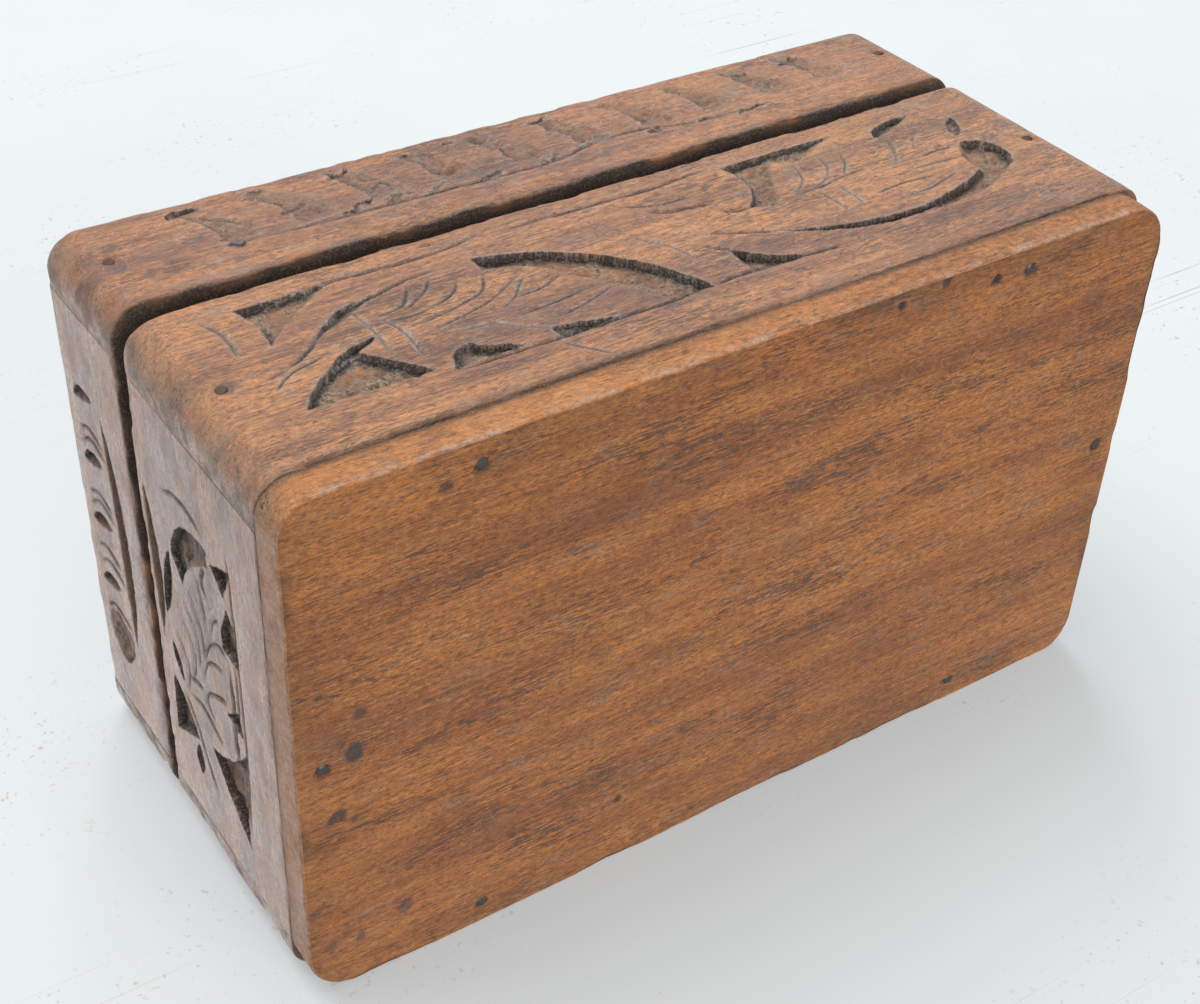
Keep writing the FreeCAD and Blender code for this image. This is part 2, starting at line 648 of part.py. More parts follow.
def fastener_group(name, fasteners, place=None):
    """Separate equal fasteners that share one node."""
    group = doc.addObject("Part::Compound", name)
    group.Links = fasteners
    finish_node(group, name, place)


def square_bar(name, side, length, place):
    """Square bar along the Z axis of its placement."""
    corner = "-(%s / 2)" % side
    return slab(name, side, side, length, place + " * " + place_text(corner, corner, "0"))


def nail(name, x, y, z, axis, angle, length):
    """Forged square nail with a flat head, from the head's outer face along the turned Z axis."""
    place = place_text(x, y, z, axis, angle)
    head = square_bar(name + "_head", "sizes.nail_head_side", "sizes.nail_head_height", place)
    shank = square_bar(name + "_shank", "sizes.nail_side", length, place)
    return fuse(name, [head, shank])


def build_nails():
    """Nails of the base, and of the corners of body and lid."""
    base_nails = []
    for index, (x, y) in enumerate(base_nail_points()):
        base_nails.append(nail("base_nail_%d" % index, x, y, "0", UPRIGHT, "0", "sizes.base_nail_length"))
    fastener_group("base_nails", base_nails)

    body_rise = "(sizes.base_thickness + sizes.corner_nail_rise)"
    lid_rise = "(%s + %s)" % (LID_RIM_Z, LID_NAIL_RISE)
    for group, rise, tilt in (("body_corner_nails", body_rise, None), ("lid_corner_nails", lid_rise, LID_TILT)):
        nails = []
        for x, _ in corner_nail_points(rise):
            for side, angle in (("-", "-90"), ("", "90")):
                name = "%s_%d" % (group, len(nails))
                y = side + "(sizes.box_width / 2)"
                nails.append(nail(name, x, y, rise, "vector(1; 0; 0)", angle, "sizes.corner_nail_length"))
        fastener_group(group, nails, tilt)


def screw(name, x, y, z, angle):
    """Countersunk screw, from its flat head along the turned Z axis."""
    place = place_text(x, y, z, "vector(1; 0; 0)", angle)
    head = cone(name + "_head", "sizes.screw_head_radius", "sizes.screw_radius", "sizes.screw_head_height", place)
    shank = rod(name + "_shank", "sizes.screw_radius", "sizes.screw_length", place)
    return fuse(name, [head, shank])


def leaf_plate(name, centre, low_z):
    """Flat of a hinge leaf, lying in the gap between the rims."""
    x = "(%s - sizes.leaf_length / 2)" % centre
    y = "(%s - sizes.leaf_width)" % HINGE_Y
    return slab(name, "sizes.leaf_length", "sizes.leaf_width", "sizes.leaf_thickness", place_text(x, y, low_z))


def knuckle(name, start, length, radius):
    """Length of a round knuckle, or of its bore, on the pin's axis."""
    place = place_text(start, HINGE_Y, HINGE_Z, "vector(0; 1; 0)", "90")
    return rod(name, radius, length, place)


def clearance_block(name, start, length):
    """Room around the other leaf's knuckle, and in front of it."""
    reach = NOTCH_RADIUS
    y = "(%s - %s)" % (HINGE_Y, reach)
    z = "(%s - %s)" % (HINGE_Z, reach)
    return slab(name, length, "2 * " + reach, "2 * " + reach, place_text(start, y, z))


def build_hinge(side, centre):
    """Butt hinge: the body's leaf with two knuckles, the lid's leaf with one, and the pin."""
    outer_start = "(%s - sizes.leaf_length / 2)" % centre
    middle_half = "(sizes.lid_knuckle_length / 2)"
    room_half = "(%s + sizes.knuckle_gap)" % middle_half
    outer_length = "(sizes.leaf_length / 2 - %s)" % room_half
    right_start = "(%s + %s)" % (centre, room_half)
    middle_start = "(%s - %s)" % (centre, middle_half)
    body_plate_z = "sizes.body_height"
    lid_plate_z = "(%s - sizes.leaf_thickness)" % LID_RIM_Z
    screw_y = "(%s - sizes.screw_inset)" % HINGE_Y
    screw_xs = ["(%s %s sizes.screw_spacing / 2)" % (centre, sign) for sign in ("-", "+")]
    body_face = "(sizes.body_height + sizes.leaf_thickness)"

    name = "hinge_body_leaf_" + side
    flat = leaf_plate(name + "_flat", centre, body_plate_z)
    room = clearance_block(name + "_room", "(%s - %s)" % (centre, room_half), "2 * " + room_half)
    knuckles = [
        knuckle(name + "_knuckle_a", outer_start, outer_length, "sizes.barrel_radius"),
        knuckle(name + "_knuckle_b", right_start, outer_length, "sizes.barrel_radius"),
    ]
    blank = fuse(name + "_blank", [cut(name + "_plate", flat, room)] + knuckles)
    bore = knuckle(name + "_bore", outer_start, "sizes.leaf_length", "sizes.pin_radius")
    holes = [screw("%s_hole_%d" % (name, index), x, screw_y, body_face, "180")
             for index, x in enumerate(screw_xs)]
    leaf = cut(name, blank, fuse(name + "_openings", [bore] + holes))
    finish_node(leaf, name)

    name = "hinge_lid_leaf_" + side
    flat = leaf_plate(name + "_flat", centre, lid_plate_z)
    rooms = [
        clearance_block(name + "_room_a", outer_start, "(%s + sizes.knuckle_gap)" % outer_length),
        clearance_block(name + "_room_b", "(%s + %s)" % (centre, middle_half),
                        "(%s + sizes.knuckle_gap)" % outer_length),
    ]
    plate = cut(name + "_plate", flat, fuse(name + "_rooms", rooms))
    middle = knuckle(name + "_knuckle", middle_start, "sizes.lid_knuckle_length", "sizes.barrel_radius")
    blank = fuse(name + "_blank", [plate, middle])
    bore = knuckle(name + "_bore", middle_start, "sizes.lid_knuckle_length",
                   "sizes.pin_radius + sizes.pin_clearance")
    holes = [screw("%s_hole_%d" % (name, index), x, screw_y, lid_plate_z, "0")
             for index, x in enumerate(screw_xs)]
    leaf = cut(name, blank, fuse(name + "_openings", [bore] + holes))
    finish_node(leaf, name, LID_TILT)

    pin = knuckle("hinge_pin_" + side, outer_start, "sizes.leaf_length", "sizes.pin_radius")
    finish_node(pin, "hinge_pin_" + side)
    body_screws = [screw("body_screw_%s_%d" % (side, index), x, screw_y, body_face, "180")
                   for index, x in enumerate(screw_xs)]
    lid_screws = [screw("lid_screw_%s_%d" % (side, index), x, screw_y, lid_plate_z, "0")
                  for index, x in enumerate(screw_xs)]
    return body_screws, lid_screws


def build_hinges():
    """Two hinges on the back rims, with their screws."""
    body_screws = []
    lid_screws = []
    for side, centre in zip(("left", "right"), hinge_centres()):
        for_body, for_lid = build_hinge(side, centre)
        body_screws += for_body
        lid_screws += for_lid
    fastener_group("body_leaf_screws", body_screws)
    fastener_group("lid_leaf_screws", lid_screws, LID_TILT)


def export():
    """Check every object, then write one file for each node."""
    doc.recompute()
    for item in doc.Objects:
        if "Invalid" in item.State or "Error" in item.State:
            raise ValueError("%s did not build" % item.Label)
    os.makedirs("parts", exist_ok=True)
    for node in nodes:
        if node.Shape.isNull() or not node.Shape.isValid():
            raise ValueError("%s has no valid shape" % node.Label)
        node.Shape.exportStep(os.path.join("parts", node.Label + ".step"))
        print(node.Label, len(node.Shape.Solids), round(node.Shape.Volume, 1))


fill_sheet()
build_base()
build_body_boards()
build_lid()
build_nails()
build_hinges()
export()
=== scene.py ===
"""Looks of a carved wooden storage box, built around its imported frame.

Lengths are millimetres while a piece is worked out, and metres in its finished mesh.
"""

import json
import logging
import math
from dataclasses import dataclass, field, replace
from enum import Enum
from typing import Optional

import bmesh
import bpy
import numpy as np
from mathutils import Matrix, Vector


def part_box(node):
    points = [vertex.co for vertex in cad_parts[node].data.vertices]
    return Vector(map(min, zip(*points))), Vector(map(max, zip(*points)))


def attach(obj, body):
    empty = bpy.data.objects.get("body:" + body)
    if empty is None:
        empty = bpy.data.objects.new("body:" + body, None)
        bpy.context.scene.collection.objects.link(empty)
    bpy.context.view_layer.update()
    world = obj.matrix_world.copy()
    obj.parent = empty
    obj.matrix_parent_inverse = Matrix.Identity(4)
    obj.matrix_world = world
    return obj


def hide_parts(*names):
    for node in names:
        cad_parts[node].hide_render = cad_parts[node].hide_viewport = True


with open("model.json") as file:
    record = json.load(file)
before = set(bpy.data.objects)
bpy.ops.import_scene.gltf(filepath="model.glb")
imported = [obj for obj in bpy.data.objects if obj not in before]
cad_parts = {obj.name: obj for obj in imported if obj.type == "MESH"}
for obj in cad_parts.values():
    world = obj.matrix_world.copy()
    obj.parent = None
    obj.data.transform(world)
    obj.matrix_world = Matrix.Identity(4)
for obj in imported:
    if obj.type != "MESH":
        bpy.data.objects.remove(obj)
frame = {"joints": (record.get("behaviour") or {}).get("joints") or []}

LOG = logging.getLogger("storage_box")
MM = 0.001
TABLE_GAP = 0.15

Array = np.ndarray
Material = bpy.types.Material
Mesh = bpy.types.Mesh
Shape = bmesh.types.BMesh
Socket = bpy.types.NodeSocket
Point = tuple[float, float]
Triple = tuple[float, float, float]
Line = tuple[Point, ...]
Outline = tuple[tuple[float, ...], ...]


class Body(Enum):
    """The two bodies that pieces ride on."""

    CASE = "case"
    LID = "lid"


class Grain(Enum):
    """Direction of the fibres of a board: degrees that turn it onto the X axis."""

    ALONG_LENGTH = 0.0
    ACROSS_WIDTH = 90.0


class Side(Enum):
    """Side of the box that a board faces: its turn about the upright axis, in degrees."""

    FRONT = 0.0
    RIGHT = 90.0
    BACK = 180.0
    LEFT = -90.0

    @property
    def long(self) -> bool:
        """True for the front and the back."""
        return self in (Side.FRONT, Side.BACK)


class Mark(Enum):
    """Surface marks that a mesh carries for its finish, one value for each vertex; three of them also carry
    painted shade, painted sheen and painted highlights.
    """

    # Black soiling, and painted shade in cuts, hollows and the gap between lid and body
    GRIME_AND_SHADE = "grime_and_shade"
    DUST = "dust"
    WEAR = "wear"
    STAIN = "stain"
    # Dull haze over the wax, and painted sheen of grazing reflection and of cut edges
    BLOOM = "bloom_and_sheen"
    # Pale rims of cuts: wax residue, and painted highlights on their edges
    CHALK_AND_HIGHLIGHT = "chalk_and_highlight"


@dataclass(frozen=True)
class BoxSizes:
    """Main sizes of the box in millimetres."""

    length: float
    width: float
    wall: float
    base: float
    body_height: float
    hinge_y: float
    hinge_z: float
    lid_height: float = 30.6
    rim_gap: float = 2.65
    rest_angle: float = 1.08
    corner_radius: float = 7.2
    panel_thickness: float = 8.0
    rebate: float = 5.0
    panel_clearance: float = 0.2
    lid_round: float = 1.8

    @classmethod
    def from_frame(cls) -> "BoxSizes":
        """Read the sizes that the frame gives.

        Returns:
            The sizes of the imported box.
        """
        base_low, base_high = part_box("base_board")
        front_low, front_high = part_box("front_board")
        hinge = frame["joints"][0]["pos_m"]
        return cls(
            length=(base_high.x - base_low.x) / MM,
            width=(base_high.y - base_low.y) / MM,
            wall=(front_high.y - front_low.y) / MM,
            base=(base_high.z - base_low.z) / MM,
            body_height=front_high.z / MM,
            hinge_y=hinge[1] / MM,
            hinge_z=hinge[2] / MM,
        )

    @property
    def inner_width(self) -> float:
        """Length of an end board, between the long boards."""
        return self.width - 2 * self.wall

    @property
    def board_height(self) -> float:
        """Height of the body's upright boards."""
        return self.body_height - self.base

    @property
    def lid_rim(self) -> float:
        """Height of the lid's rim above the ground, before the lid is tilted."""
        return self.body_height + self.rim_gap


class Noise:
    """Smooth seeded noise over a plane, between about -1 and 1."""

    CELLS = 64

    def __init__(self, seed: int) -> None:
        """Draw the noise's lattice from a seed."""
        self.lattice = np.random.default_rng(seed).uniform(-1.0, 1.0, (self.CELLS, self.CELLS))

    def at(self, x: Array, y: Array, size: float, stretch: float = 1.0) -> Array:
        """Noise at points.

        Args:
            x: First coordinates.
            y: Second coordinates.
            size: Width of one lump.
            stretch: How many times longer a lump is along x.

        Returns:
            One value for each point.
        """
        u, v = np.broadcast_arrays(x / (size * stretch), y / size)
        column, row = np.floor(u).astype(int), np.floor(v).astype(int)
        f, g = u - column, v - row
        f, g = f * f * (3 - 2 * f), g * g * (3 - 2 * g)
        ends = []
        for i in (0, 1):
            low, high = (self.lattice[(column + i) % self.CELLS, (row + j) % self.CELLS] for j in (0, 1))
            ends.append(low * (1 - g) + high * g)
        return ends[0] * (1 - f) + ends[1] * f

    def rough(self, x: Array, y: Array, size: float, octaves: int = 3, stretch: float = 1.0) -> Array:
        """Sum of ever finer noise.

        Args:
            x: First coordinates.
            y: Second coordinates.
            size: Width of the largest lump.
            octaves: How many layers are added.
            stretch: How many times longer a lump is along x.

        Returns:
            One value for each point.
        """
        total = np.zeros(np.broadcast(x, y).shape)
        for octave in range(octaves):
            share = 0.5**octave
            total += share * self.at(x + 37.7 * octave, y - 21.3 * octave, size * share, stretch)
        return total


def smoothstep(low: float, high: float, value: Array) -> Array:
    """Soft step from 0 at low to 1 at high."""
    t = np.clip((value - low) / (high - low), 0.0, 1.0)
    return t * t * (3 - 2 * t)


def arc_through(start: Point, via: Point, end: Point, step: float = 0.8) -> Array:
    """Points along the arc through three points.

    Args:
        start: First point.
        via: A point on the way.
        end: Last point.
        step: Distance between the points.

    Returns:
        The points, start and end included.
    """
    a, b, c = (np.array(p, float) for p in (start, via, end))
    double = 2 * ((b[0] - a[0]) * (c[1] - a[1]) - (b[1] - a[1]) * (c[0] - a[0]))
    if abs(double) < 1e-6:
        return np.array([a, b, c])
    ab, ac = (b - a) @ (b + a), (c - a) @ (c + a)
    centre_x = ab * (c[1] - a[1]) - ac * (b[1] - a[1])
    centre_z = ac * (b[0] - a[0]) - ab * (c[0] - a[0])
    centre = np.array([centre_x, centre_z]) / double
    angles = [math.atan2(p[1] - centre[1], p[0] - centre[0]) for p in (a, b, c)]
    sweep = (angles[2] - angles[0]) % math.tau
    if (angles[1] - angles[0]) % math.tau > sweep:
        sweep -= math.tau
    radius = float(np.linalg.norm(a - centre))
    count = max(3, int(abs(sweep) * radius / step))
    turn = angles[0] + np.linspace(0.0, sweep, count + 1)
    return centre + radius * np.column_stack((np.cos(turn), np.sin(turn)))


def smooth_line(points: Line, pieces: int = 8) -> Array:
    """Points along a smooth line through the given ones.

    Args:
        points: Points that the line passes through.
        pieces: How many straight pieces each stretch gets.

    Returns:
        The points of the line.
    """
    knots = np.array(points, float)
    padded = np.vstack((2 * knots[0] - knots[1], knots, 2 * knots[-1] - knots[-2]))
    t = np.linspace(0.0, 1.0, pieces, endpoint=False)[:, None]
    spans = []
    for p0, p1, p2, p3 in zip(padded, padded[1:], padded[2:], padded[3:]):
        bend = 2 * p0 - 5 * p1 + 4 * p2 - p3
        twist = 3 * p1 - p0 - 3 * p2 + p3
        spans.append(0.5 * (2 * p1 + (p2 - p0) * t + bend * t**2 + twist * t**3))
    return np.vstack(spans + [knots[-1:]])


@dataclass(frozen=True)
class Nearness:
    """How points lie to a line.

    Attributes:
        distance: Distance from the line.
        along: Share of the way along the line, from 0 to 1.
        side: Positive on the left of the line, negative on the right.
        away_x: First coordinate of the way from the line to the point.
        away_z: Second coordinate of that way.
    """

    distance: Array
    along: Array
    side: Array
    away_x: Array
    away_z: Array


def nearness(x: Array, z: Array, line: Array) -> Nearness:
    """Measure points against a line of straight pieces.

    Args:
        x: First coordinates of the points.
        z: Second coordinates of the points.
        line: Points of the line.

    Returns:
        How each point lies to the line.
    """
    best = np.full(x.shape, np.inf)
    along, side, away_x, away_z = (np.zeros(x.shape) for _ in range(4))
    count = len(line) - 1
    for index, (a, b) in enumerate(zip(line, line[1:])):
        run = b - a
        square = max(float(run @ run), 1e-9)
        t = np.clip(((x - a[0]) * run[0] + (z - a[1]) * run[1]) / square, 0.0, 1.0)
        dx, dz = x - a[0] - t * run[0], z - a[1] - t * run[1]
        distance = np.hypot(dx, dz)
        nearer = distance < best
        best = np.where(nearer, distance, best)
        along = np.where(nearer, (index + t) / count, along)
        side = np.where(nearer, np.sign(run[0] * dz - run[1] * dx), side)
        away_x, away_z = np.where(nearer, dx, away_x), np.where(nearer, dz, away_z)
    return Nearness(best, along, side, away_x, away_z)


@dataclass(frozen=True)
class Pocket:
    """Recess with steep sides, cut round a motif to clear the ground.

    Attributes:
        outline: Corners, each as x and z, and x and z of a point on the arc to the next one, if any.
        depth: Depth of the floor.
        slopes: Edges, by number, from which the floor falls gently.
        slope: Width of that gentle fall.
        dust: How much pale dust lies on the floor, from 0 to 1.
        ragged: How far the knife strayed from the outline.
    """

    outline: Outline
    depth: float
    slopes: tuple[int, ...]
    slope: float
    dust: float
    ragged: float = 0.22

    def edges(self) -> list[Array]:
        """Points along each edge of the outline, in order.

        Returns:
            One array of points for each edge.
        """
        found = []
        for corner, following in zip(self.outline, self.outline[1:] + self.outline[:1]):
            start, via, end = corner[:2], corner[2:], following[:2]
            found.append(arc_through(start, via, end) if via else np.array([start, end], float))
        return found


@dataclass(frozen=True)
class Groove:
    """Cut of a knife along a line.

    Attributes:
        points: Points that the cut passes through.
        width: Width at the surface.
        depth: Depth in the middle.
        fall: Width of the gentle bevel on the left of the cut, 0 for none.
        dust: How much pale dust lies in it, from 0 to 1.
    """

    points: Line
    width: float
    depth: float
    fall: float
    dust: float


def cuts(width: float, depth: float, fall: float, dust: float, *lines: Line) -> tuple[Groove, ...]:
    """Knife cuts of one kind along several lines."""
    return tuple(Groove(line, width, depth, fall, dust) for line in lines)


@dataclass(frozen=True)
class Spot:
    """Stain or dent on a face: its centre, radius, darkness and depth."""

    centre: Point
    radius: float
    stain: float = 0.7
    depth: float = 0.0


@dataclass
class Cut:
    """What carving does to the points of a face: depth, and the marks that come with it."""

    depth: Array
    marks: dict[Mark, Array]

    def add(self, mark: Mark, near: Array, values: Array) -> None:
        """Raise a mark to new values at some of the points, where they are higher."""
        self.marks[mark][near] = np.maximum(self.marks[mark][near], values)


@dataclass
class Relief:
    """Carving of one face.

    Attributes:
        seed: Number that the hand's unevenness is drawn from.
        pockets: Recesses.
        grooves: Knife cuts.
        spots: Stains and dents.
        origin: Place of the face's own zero in the coordinates that the carving is written in.
        mirror: -1 where the carving is seen in a mirror, otherwise 1.
        wall: Width of a recess's steep side.
        hand: Unevenness that the plane left on the face.
        floor_share: Share of the written depth that a recess has.
        bite: How many times deeper than written a knife cut is.
        wander: How far a knife cut strays from its line.
    """

    seed: int
    pockets: tuple[Pocket, ...] = ()
    grooves: tuple[Groove, ...] = ()
    spots: tuple[Spot, ...] = ()
    origin: Point = (0.0, 0.0)
    mirror: int = 1
    wall: float = 0.2
    hand: float = 0.12
    floor_share: float = 0.72
    bite: float = 1.3
    wander: float = 0.12
    _noise: Noise = field(init=False)

    def __post_init__(self) -> None:
        """Draw the noise of this face."""
        self._noise = Noise(self.seed)

    def cut(self, face_x: Array, face_z: Array) -> Cut:
        """Work out the carving at points of the face.

        Args:
            face_x: Distances along the face from its middle.
            face_z: Heights above the face's lower edge.

        Returns:
            Depth and marks at each point.
        """
        x, z = self.mirror * face_x + self.origin[0], face_z + self.origin[1]
        uneven = self._noise.rough(x, z, 14.0, 3, 2.5) + 0.3 * self._noise.at(x, z, 2.2, 3.0)
        planed = 0.6 * self.hand * np.maximum(uneven + 1.0, 0.0)
        made = Cut(planed, {mark: np.zeros(x.shape) for mark in Mark})
        for groove in self.grooves:
            self._cut_groove(groove, x, z, made)
        for pocket in self.pockets:
            self._cut_pocket(pocket, x, z, made)
        for spot in self.spots:
            self._press_spot(spot, x, z, made)
        return made

    def snap(self, face_x: Array, face_z: Array, pitch: float) -> tuple[Array, Array]:
        """Draw the points of a grid that lie next to a cut's line onto it, which keeps its edge clean.

        Args:
            face_x: Distances along the face from its middle.
            face_z: Heights above the face's lower edge.
            pitch: Distance between the points of the grid.

        Returns:
            The moved coordinates.
        """
        x, z = self.mirror * face_x + self.origin[0], face_z + self.origin[1]
        new_x, new_z = x.copy(), z.copy()
        lines = [(smooth_line(groove.points), None) for groove in self.grooves]
        for pocket in self.pockets:
            steep = [edge for index, edge in enumerate(pocket.edges()) if index not in pocket.slopes]
            lines += [(edge, pocket.ragged) for edge in steep]
        for line, ragged in lines:
            near = self._near(x, z, line, 2.0 * pitch + 0.5)
            if not near.any():
                continue
            lie = nearness(*self._strayed(x[near], z[near], ragged), line)
            reach = 0.5 * pitch * np.maximum(np.abs(lie.away_x), np.abs(lie.away_z))
            drawn = (lie.distance**2 <= reach) & (lie.along > 0.0) & (lie.along < 1.0)
            new_x[near] = np.where(drawn, x[near] - lie.away_x, new_x[near])
            new_z[near] = np.where(drawn, z[near] - lie.away_z, new_z[near])
        return (new_x - self.origin[0]) * self.mirror, new_z - self.origin[1]

    def _strayed(self, x: Array, z: Array, ragged: Optional[float]) -> tuple[Array, Array]:
        """Points as seen by a knife that strays from an outline, or along a groove if ragged is None.

        Args:
            x: First coordinates of the points.
            z: Second coordinates of the points.
            ragged: How far it strays, or None.

        Returns:
            The moved coordinates.
        """
        if ragged is None:
            stray = self.wander * self._noise.at(x, z, 3.0)
            return x + stray, z - stray
        rough = self._noise.rough
        return x + ragged * rough(x, z, 2.4, 3), z + ragged * rough(x + 50, z, 2.4, 3)

    @staticmethod
    def _near(x: Array, z: Array, points: Array, margin: float) -> Array:
        """True for the points within a margin of the box round a line."""
        low, high = points.min(0) - margin, points.max(0) + margin
        return (x > low[0]) & (x < high[0]) & (z > low[1]) & (z < high[1])

    def _cut_groove(self, groove: Groove, x: Array, z: Array, made: Cut) -> None:
        """Add one knife cut.

        Args:
            groove: The cut.
            x: First coordinates of the points.
            z: Second coordinates of the points.
            made: Carving so far, which is changed.
        """
        line = smooth_line(groove.points)
        near = self._near(x, z, line, max(groove.width, groove.fall) + 0.5)
        if not near.any():
            return
        lie = nearness(*self._strayed(x[near], z[near], None), line)
        taper = np.clip(1.8 * np.sin(math.pi * np.clip(lie.along, 0.02, 0.98)), 0.0, 1.0)
        taper *= 0.8 + 0.35 * self._noise.at(x[near], z[near], 4.0)
        sharp = np.clip(1.0 - lie.distance / (0.6 * groove.width), 0.0, 1.0)
        cut = self.bite * groove.depth * sharp**0.8
        if groove.fall > 0:
            bevel = np.clip(1.0 - lie.distance / groove.fall, 0.0, 1.0) * (lie.side > 0)
            cut = np.maximum(cut, 0.75 * groove.depth * bevel**1.3)
        made.depth[near] += cut * taper
        # Dark lining of the cut: soiling, and painted shade in the crease
        lined = np.clip(1.2 * sharp * taper, 0.0, 1.0)
        made.add(Mark.GRIME_AND_SHADE, near, lined * (1.0 - 0.5 * groove.dust))
        made.add(Mark.DUST, near, lined * groove.dust)
        # Pale haze and pale rim along the cut's lips: partly wax residue, partly painted highlights on its
        # edges
        lip = np.exp(-(((lie.distance - 0.6 * groove.width) / 0.35) ** 2)) * taper
        made.add(Mark.BLOOM, near, np.clip(lip, 0.0, 1.0) * min(0.5 + groove.dust, 1.0))
        rim = np.exp(-(((lie.distance - 0.55 * groove.width) / 0.3) ** 2)) * np.clip(taper, 0.0, 1.0)
        made.add(Mark.CHALK_AND_HIGHLIGHT, near, rim * min(0.45 + groove.dust, 1.0))

    def _cut_pocket(self, pocket: Pocket, x: Array, z: Array, made: Cut) -> None:
        """Add one recess.

        Args:
            pocket: The recess.
            x: First coordinates of the points.
            z: Second coordinates of the points.
            made: Carving so far, which is changed.
        """
        edges = pocket.edges()
        ring = np.vstack([edge[:-1] for edge in edges])
        near = self._near(x, z, ring, 1.0)
        if not near.any():
            return
        px, pz = self._strayed(x[near], z[near], pocket.ragged)
        inside = self._inside(px, pz, ring)
        steep, gentle = np.full(px.shape, np.inf), np.full(px.shape, np.inf)
        for index, edge in enumerate(edges):
            reached = gentle if index in pocket.slopes else steep
            np.minimum(reached, nearness(px, pz, edge).distance, out=reached)
        floor = np.clip(steep / self.wall, 0.0, 1.0) * np.clip(gentle / pocket.slope, 0.0, 1.0) ** 0.75
        chisel = self._noise.rough(px, pz, 1.6, 3, 2.0) + 0.5 * self._noise.at(px, pz, 0.8)
        cut = self.floor_share * pocket.depth * floor + 0.45 * chisel * np.minimum(floor * 2, 1.0)
        made.depth[near] = np.maximum(made.depth[near], np.where(inside, cut, 0.0))
        # Painted shade on the steep walls and floor of the recess, mixed with soiling: darkest close to a
        # steep wall, weaker on shallow floors; a dark painted shadow line also runs along each steep edge
        close = 1.0 - smoothstep(0.6, 2.2, steep + 0.5 * chisel)
        blackening = np.where(inside, close + (1.0 - close) * (0.75 - 0.5 * pocket.dust), 0.0)
        blackening = blackening * min(pocket.depth / 1.5, 1.0) * np.clip(floor * 6.0, 0.0, 1.0)
        made.add(Mark.GRIME_AND_SHADE, near, np.maximum(blackening, 0.85 * (steep < 0.1) * (steep < gentle)))
        settled = smoothstep(0.5, 1.4, steep) * np.clip(floor * 3.0, 0.0, 1.0)
        mottled = np.clip(0.55 + 0.9 * self._noise.rough(px, pz, 2.8, 3), 0.0, 1.0)
        made.add(Mark.DUST, near, np.where(inside, pocket.dust * settled * mottled, 0.0))
        # Pale haze and pale rim round the recess just outside its edge: partly wax residue, partly painted
        # highlights on the edge
        made.add(Mark.BLOOM, near, np.where(inside, 0.0, 0.8 * np.exp(-np.minimum(steep, gentle) / 0.45)))
        made.add(Mark.CHALK_AND_HIGHLIGHT, near, np.where(inside, 0.0, 0.9 * np.exp(-steep / 0.35)))

    @staticmethod
    def _inside(x: Array, z: Array, ring: Array) -> Array:
        """True for the points inside a closed ring of points.

        Args:
            x: First coordinates of the points.
            z: Second coordinates of the points.
            ring: Corners of a closed outline.

        Returns:
            True for points inside.
        """
        inside = np.zeros(x.shape, bool)
        for a, b in zip(ring, np.roll(ring, -1, axis=0)):
            rise = b[1] - a[1] if abs(b[1] - a[1]) > 1e-9 else 1e-9
            inside ^= ((a[1] > z) != (b[1] > z)) & (x < (b[0] - a[0]) * (z - a[1]) / rise + a[0])
        return inside

    def _press_spot(self, spot: Spot, x: Array, z: Array, made: Cut) -> None:
        """Add one stain or dent.

        Args:
            spot: The stain or dent.
            x: First coordinates of the points.
            z: Second coordinates of the points.
            made: Carving so far, which is changed.
        """
        away = np.hypot(x - spot.centre[0], z - spot.centre[1])
        near = away < 2.0 * spot.radius
        if not near.any():
            return
        ragged = spot.radius * (1.0 + 0.35 * self._noise.rough(x[near], z[near], 1.1 * spot.radius, 2))
        share = 1.0 - smoothstep(0.75, 1.1, away[near] / ragged)
        made.add(Mark.STAIN, near, spot.stain * share)
        made.depth[near] += spot.depth * share


@dataclass(frozen=True)
class Swell:
    """Uneven height of the lid: how far its top lies above its mean height at each end."""

    rim: float
    height: float
    half_length: float
    left: float = 2.0
    right: float = -0.8

    def lift(self, points: Array) -> Array:
        """Points with their heights changed in step with their place.

        Args:
            points: Rows of x, y and z.

        Returns:
            The rows with their heights changed.
        """
        share = np.clip((points[:, 2] - self.rim) / self.height, 0.0, 1.0)
        rise = np.interp(points[:, 0], (-self.half_length, self.half_length), (self.left, self.right))
        return points + np.column_stack((0 * rise, 0 * rise, share * rise))


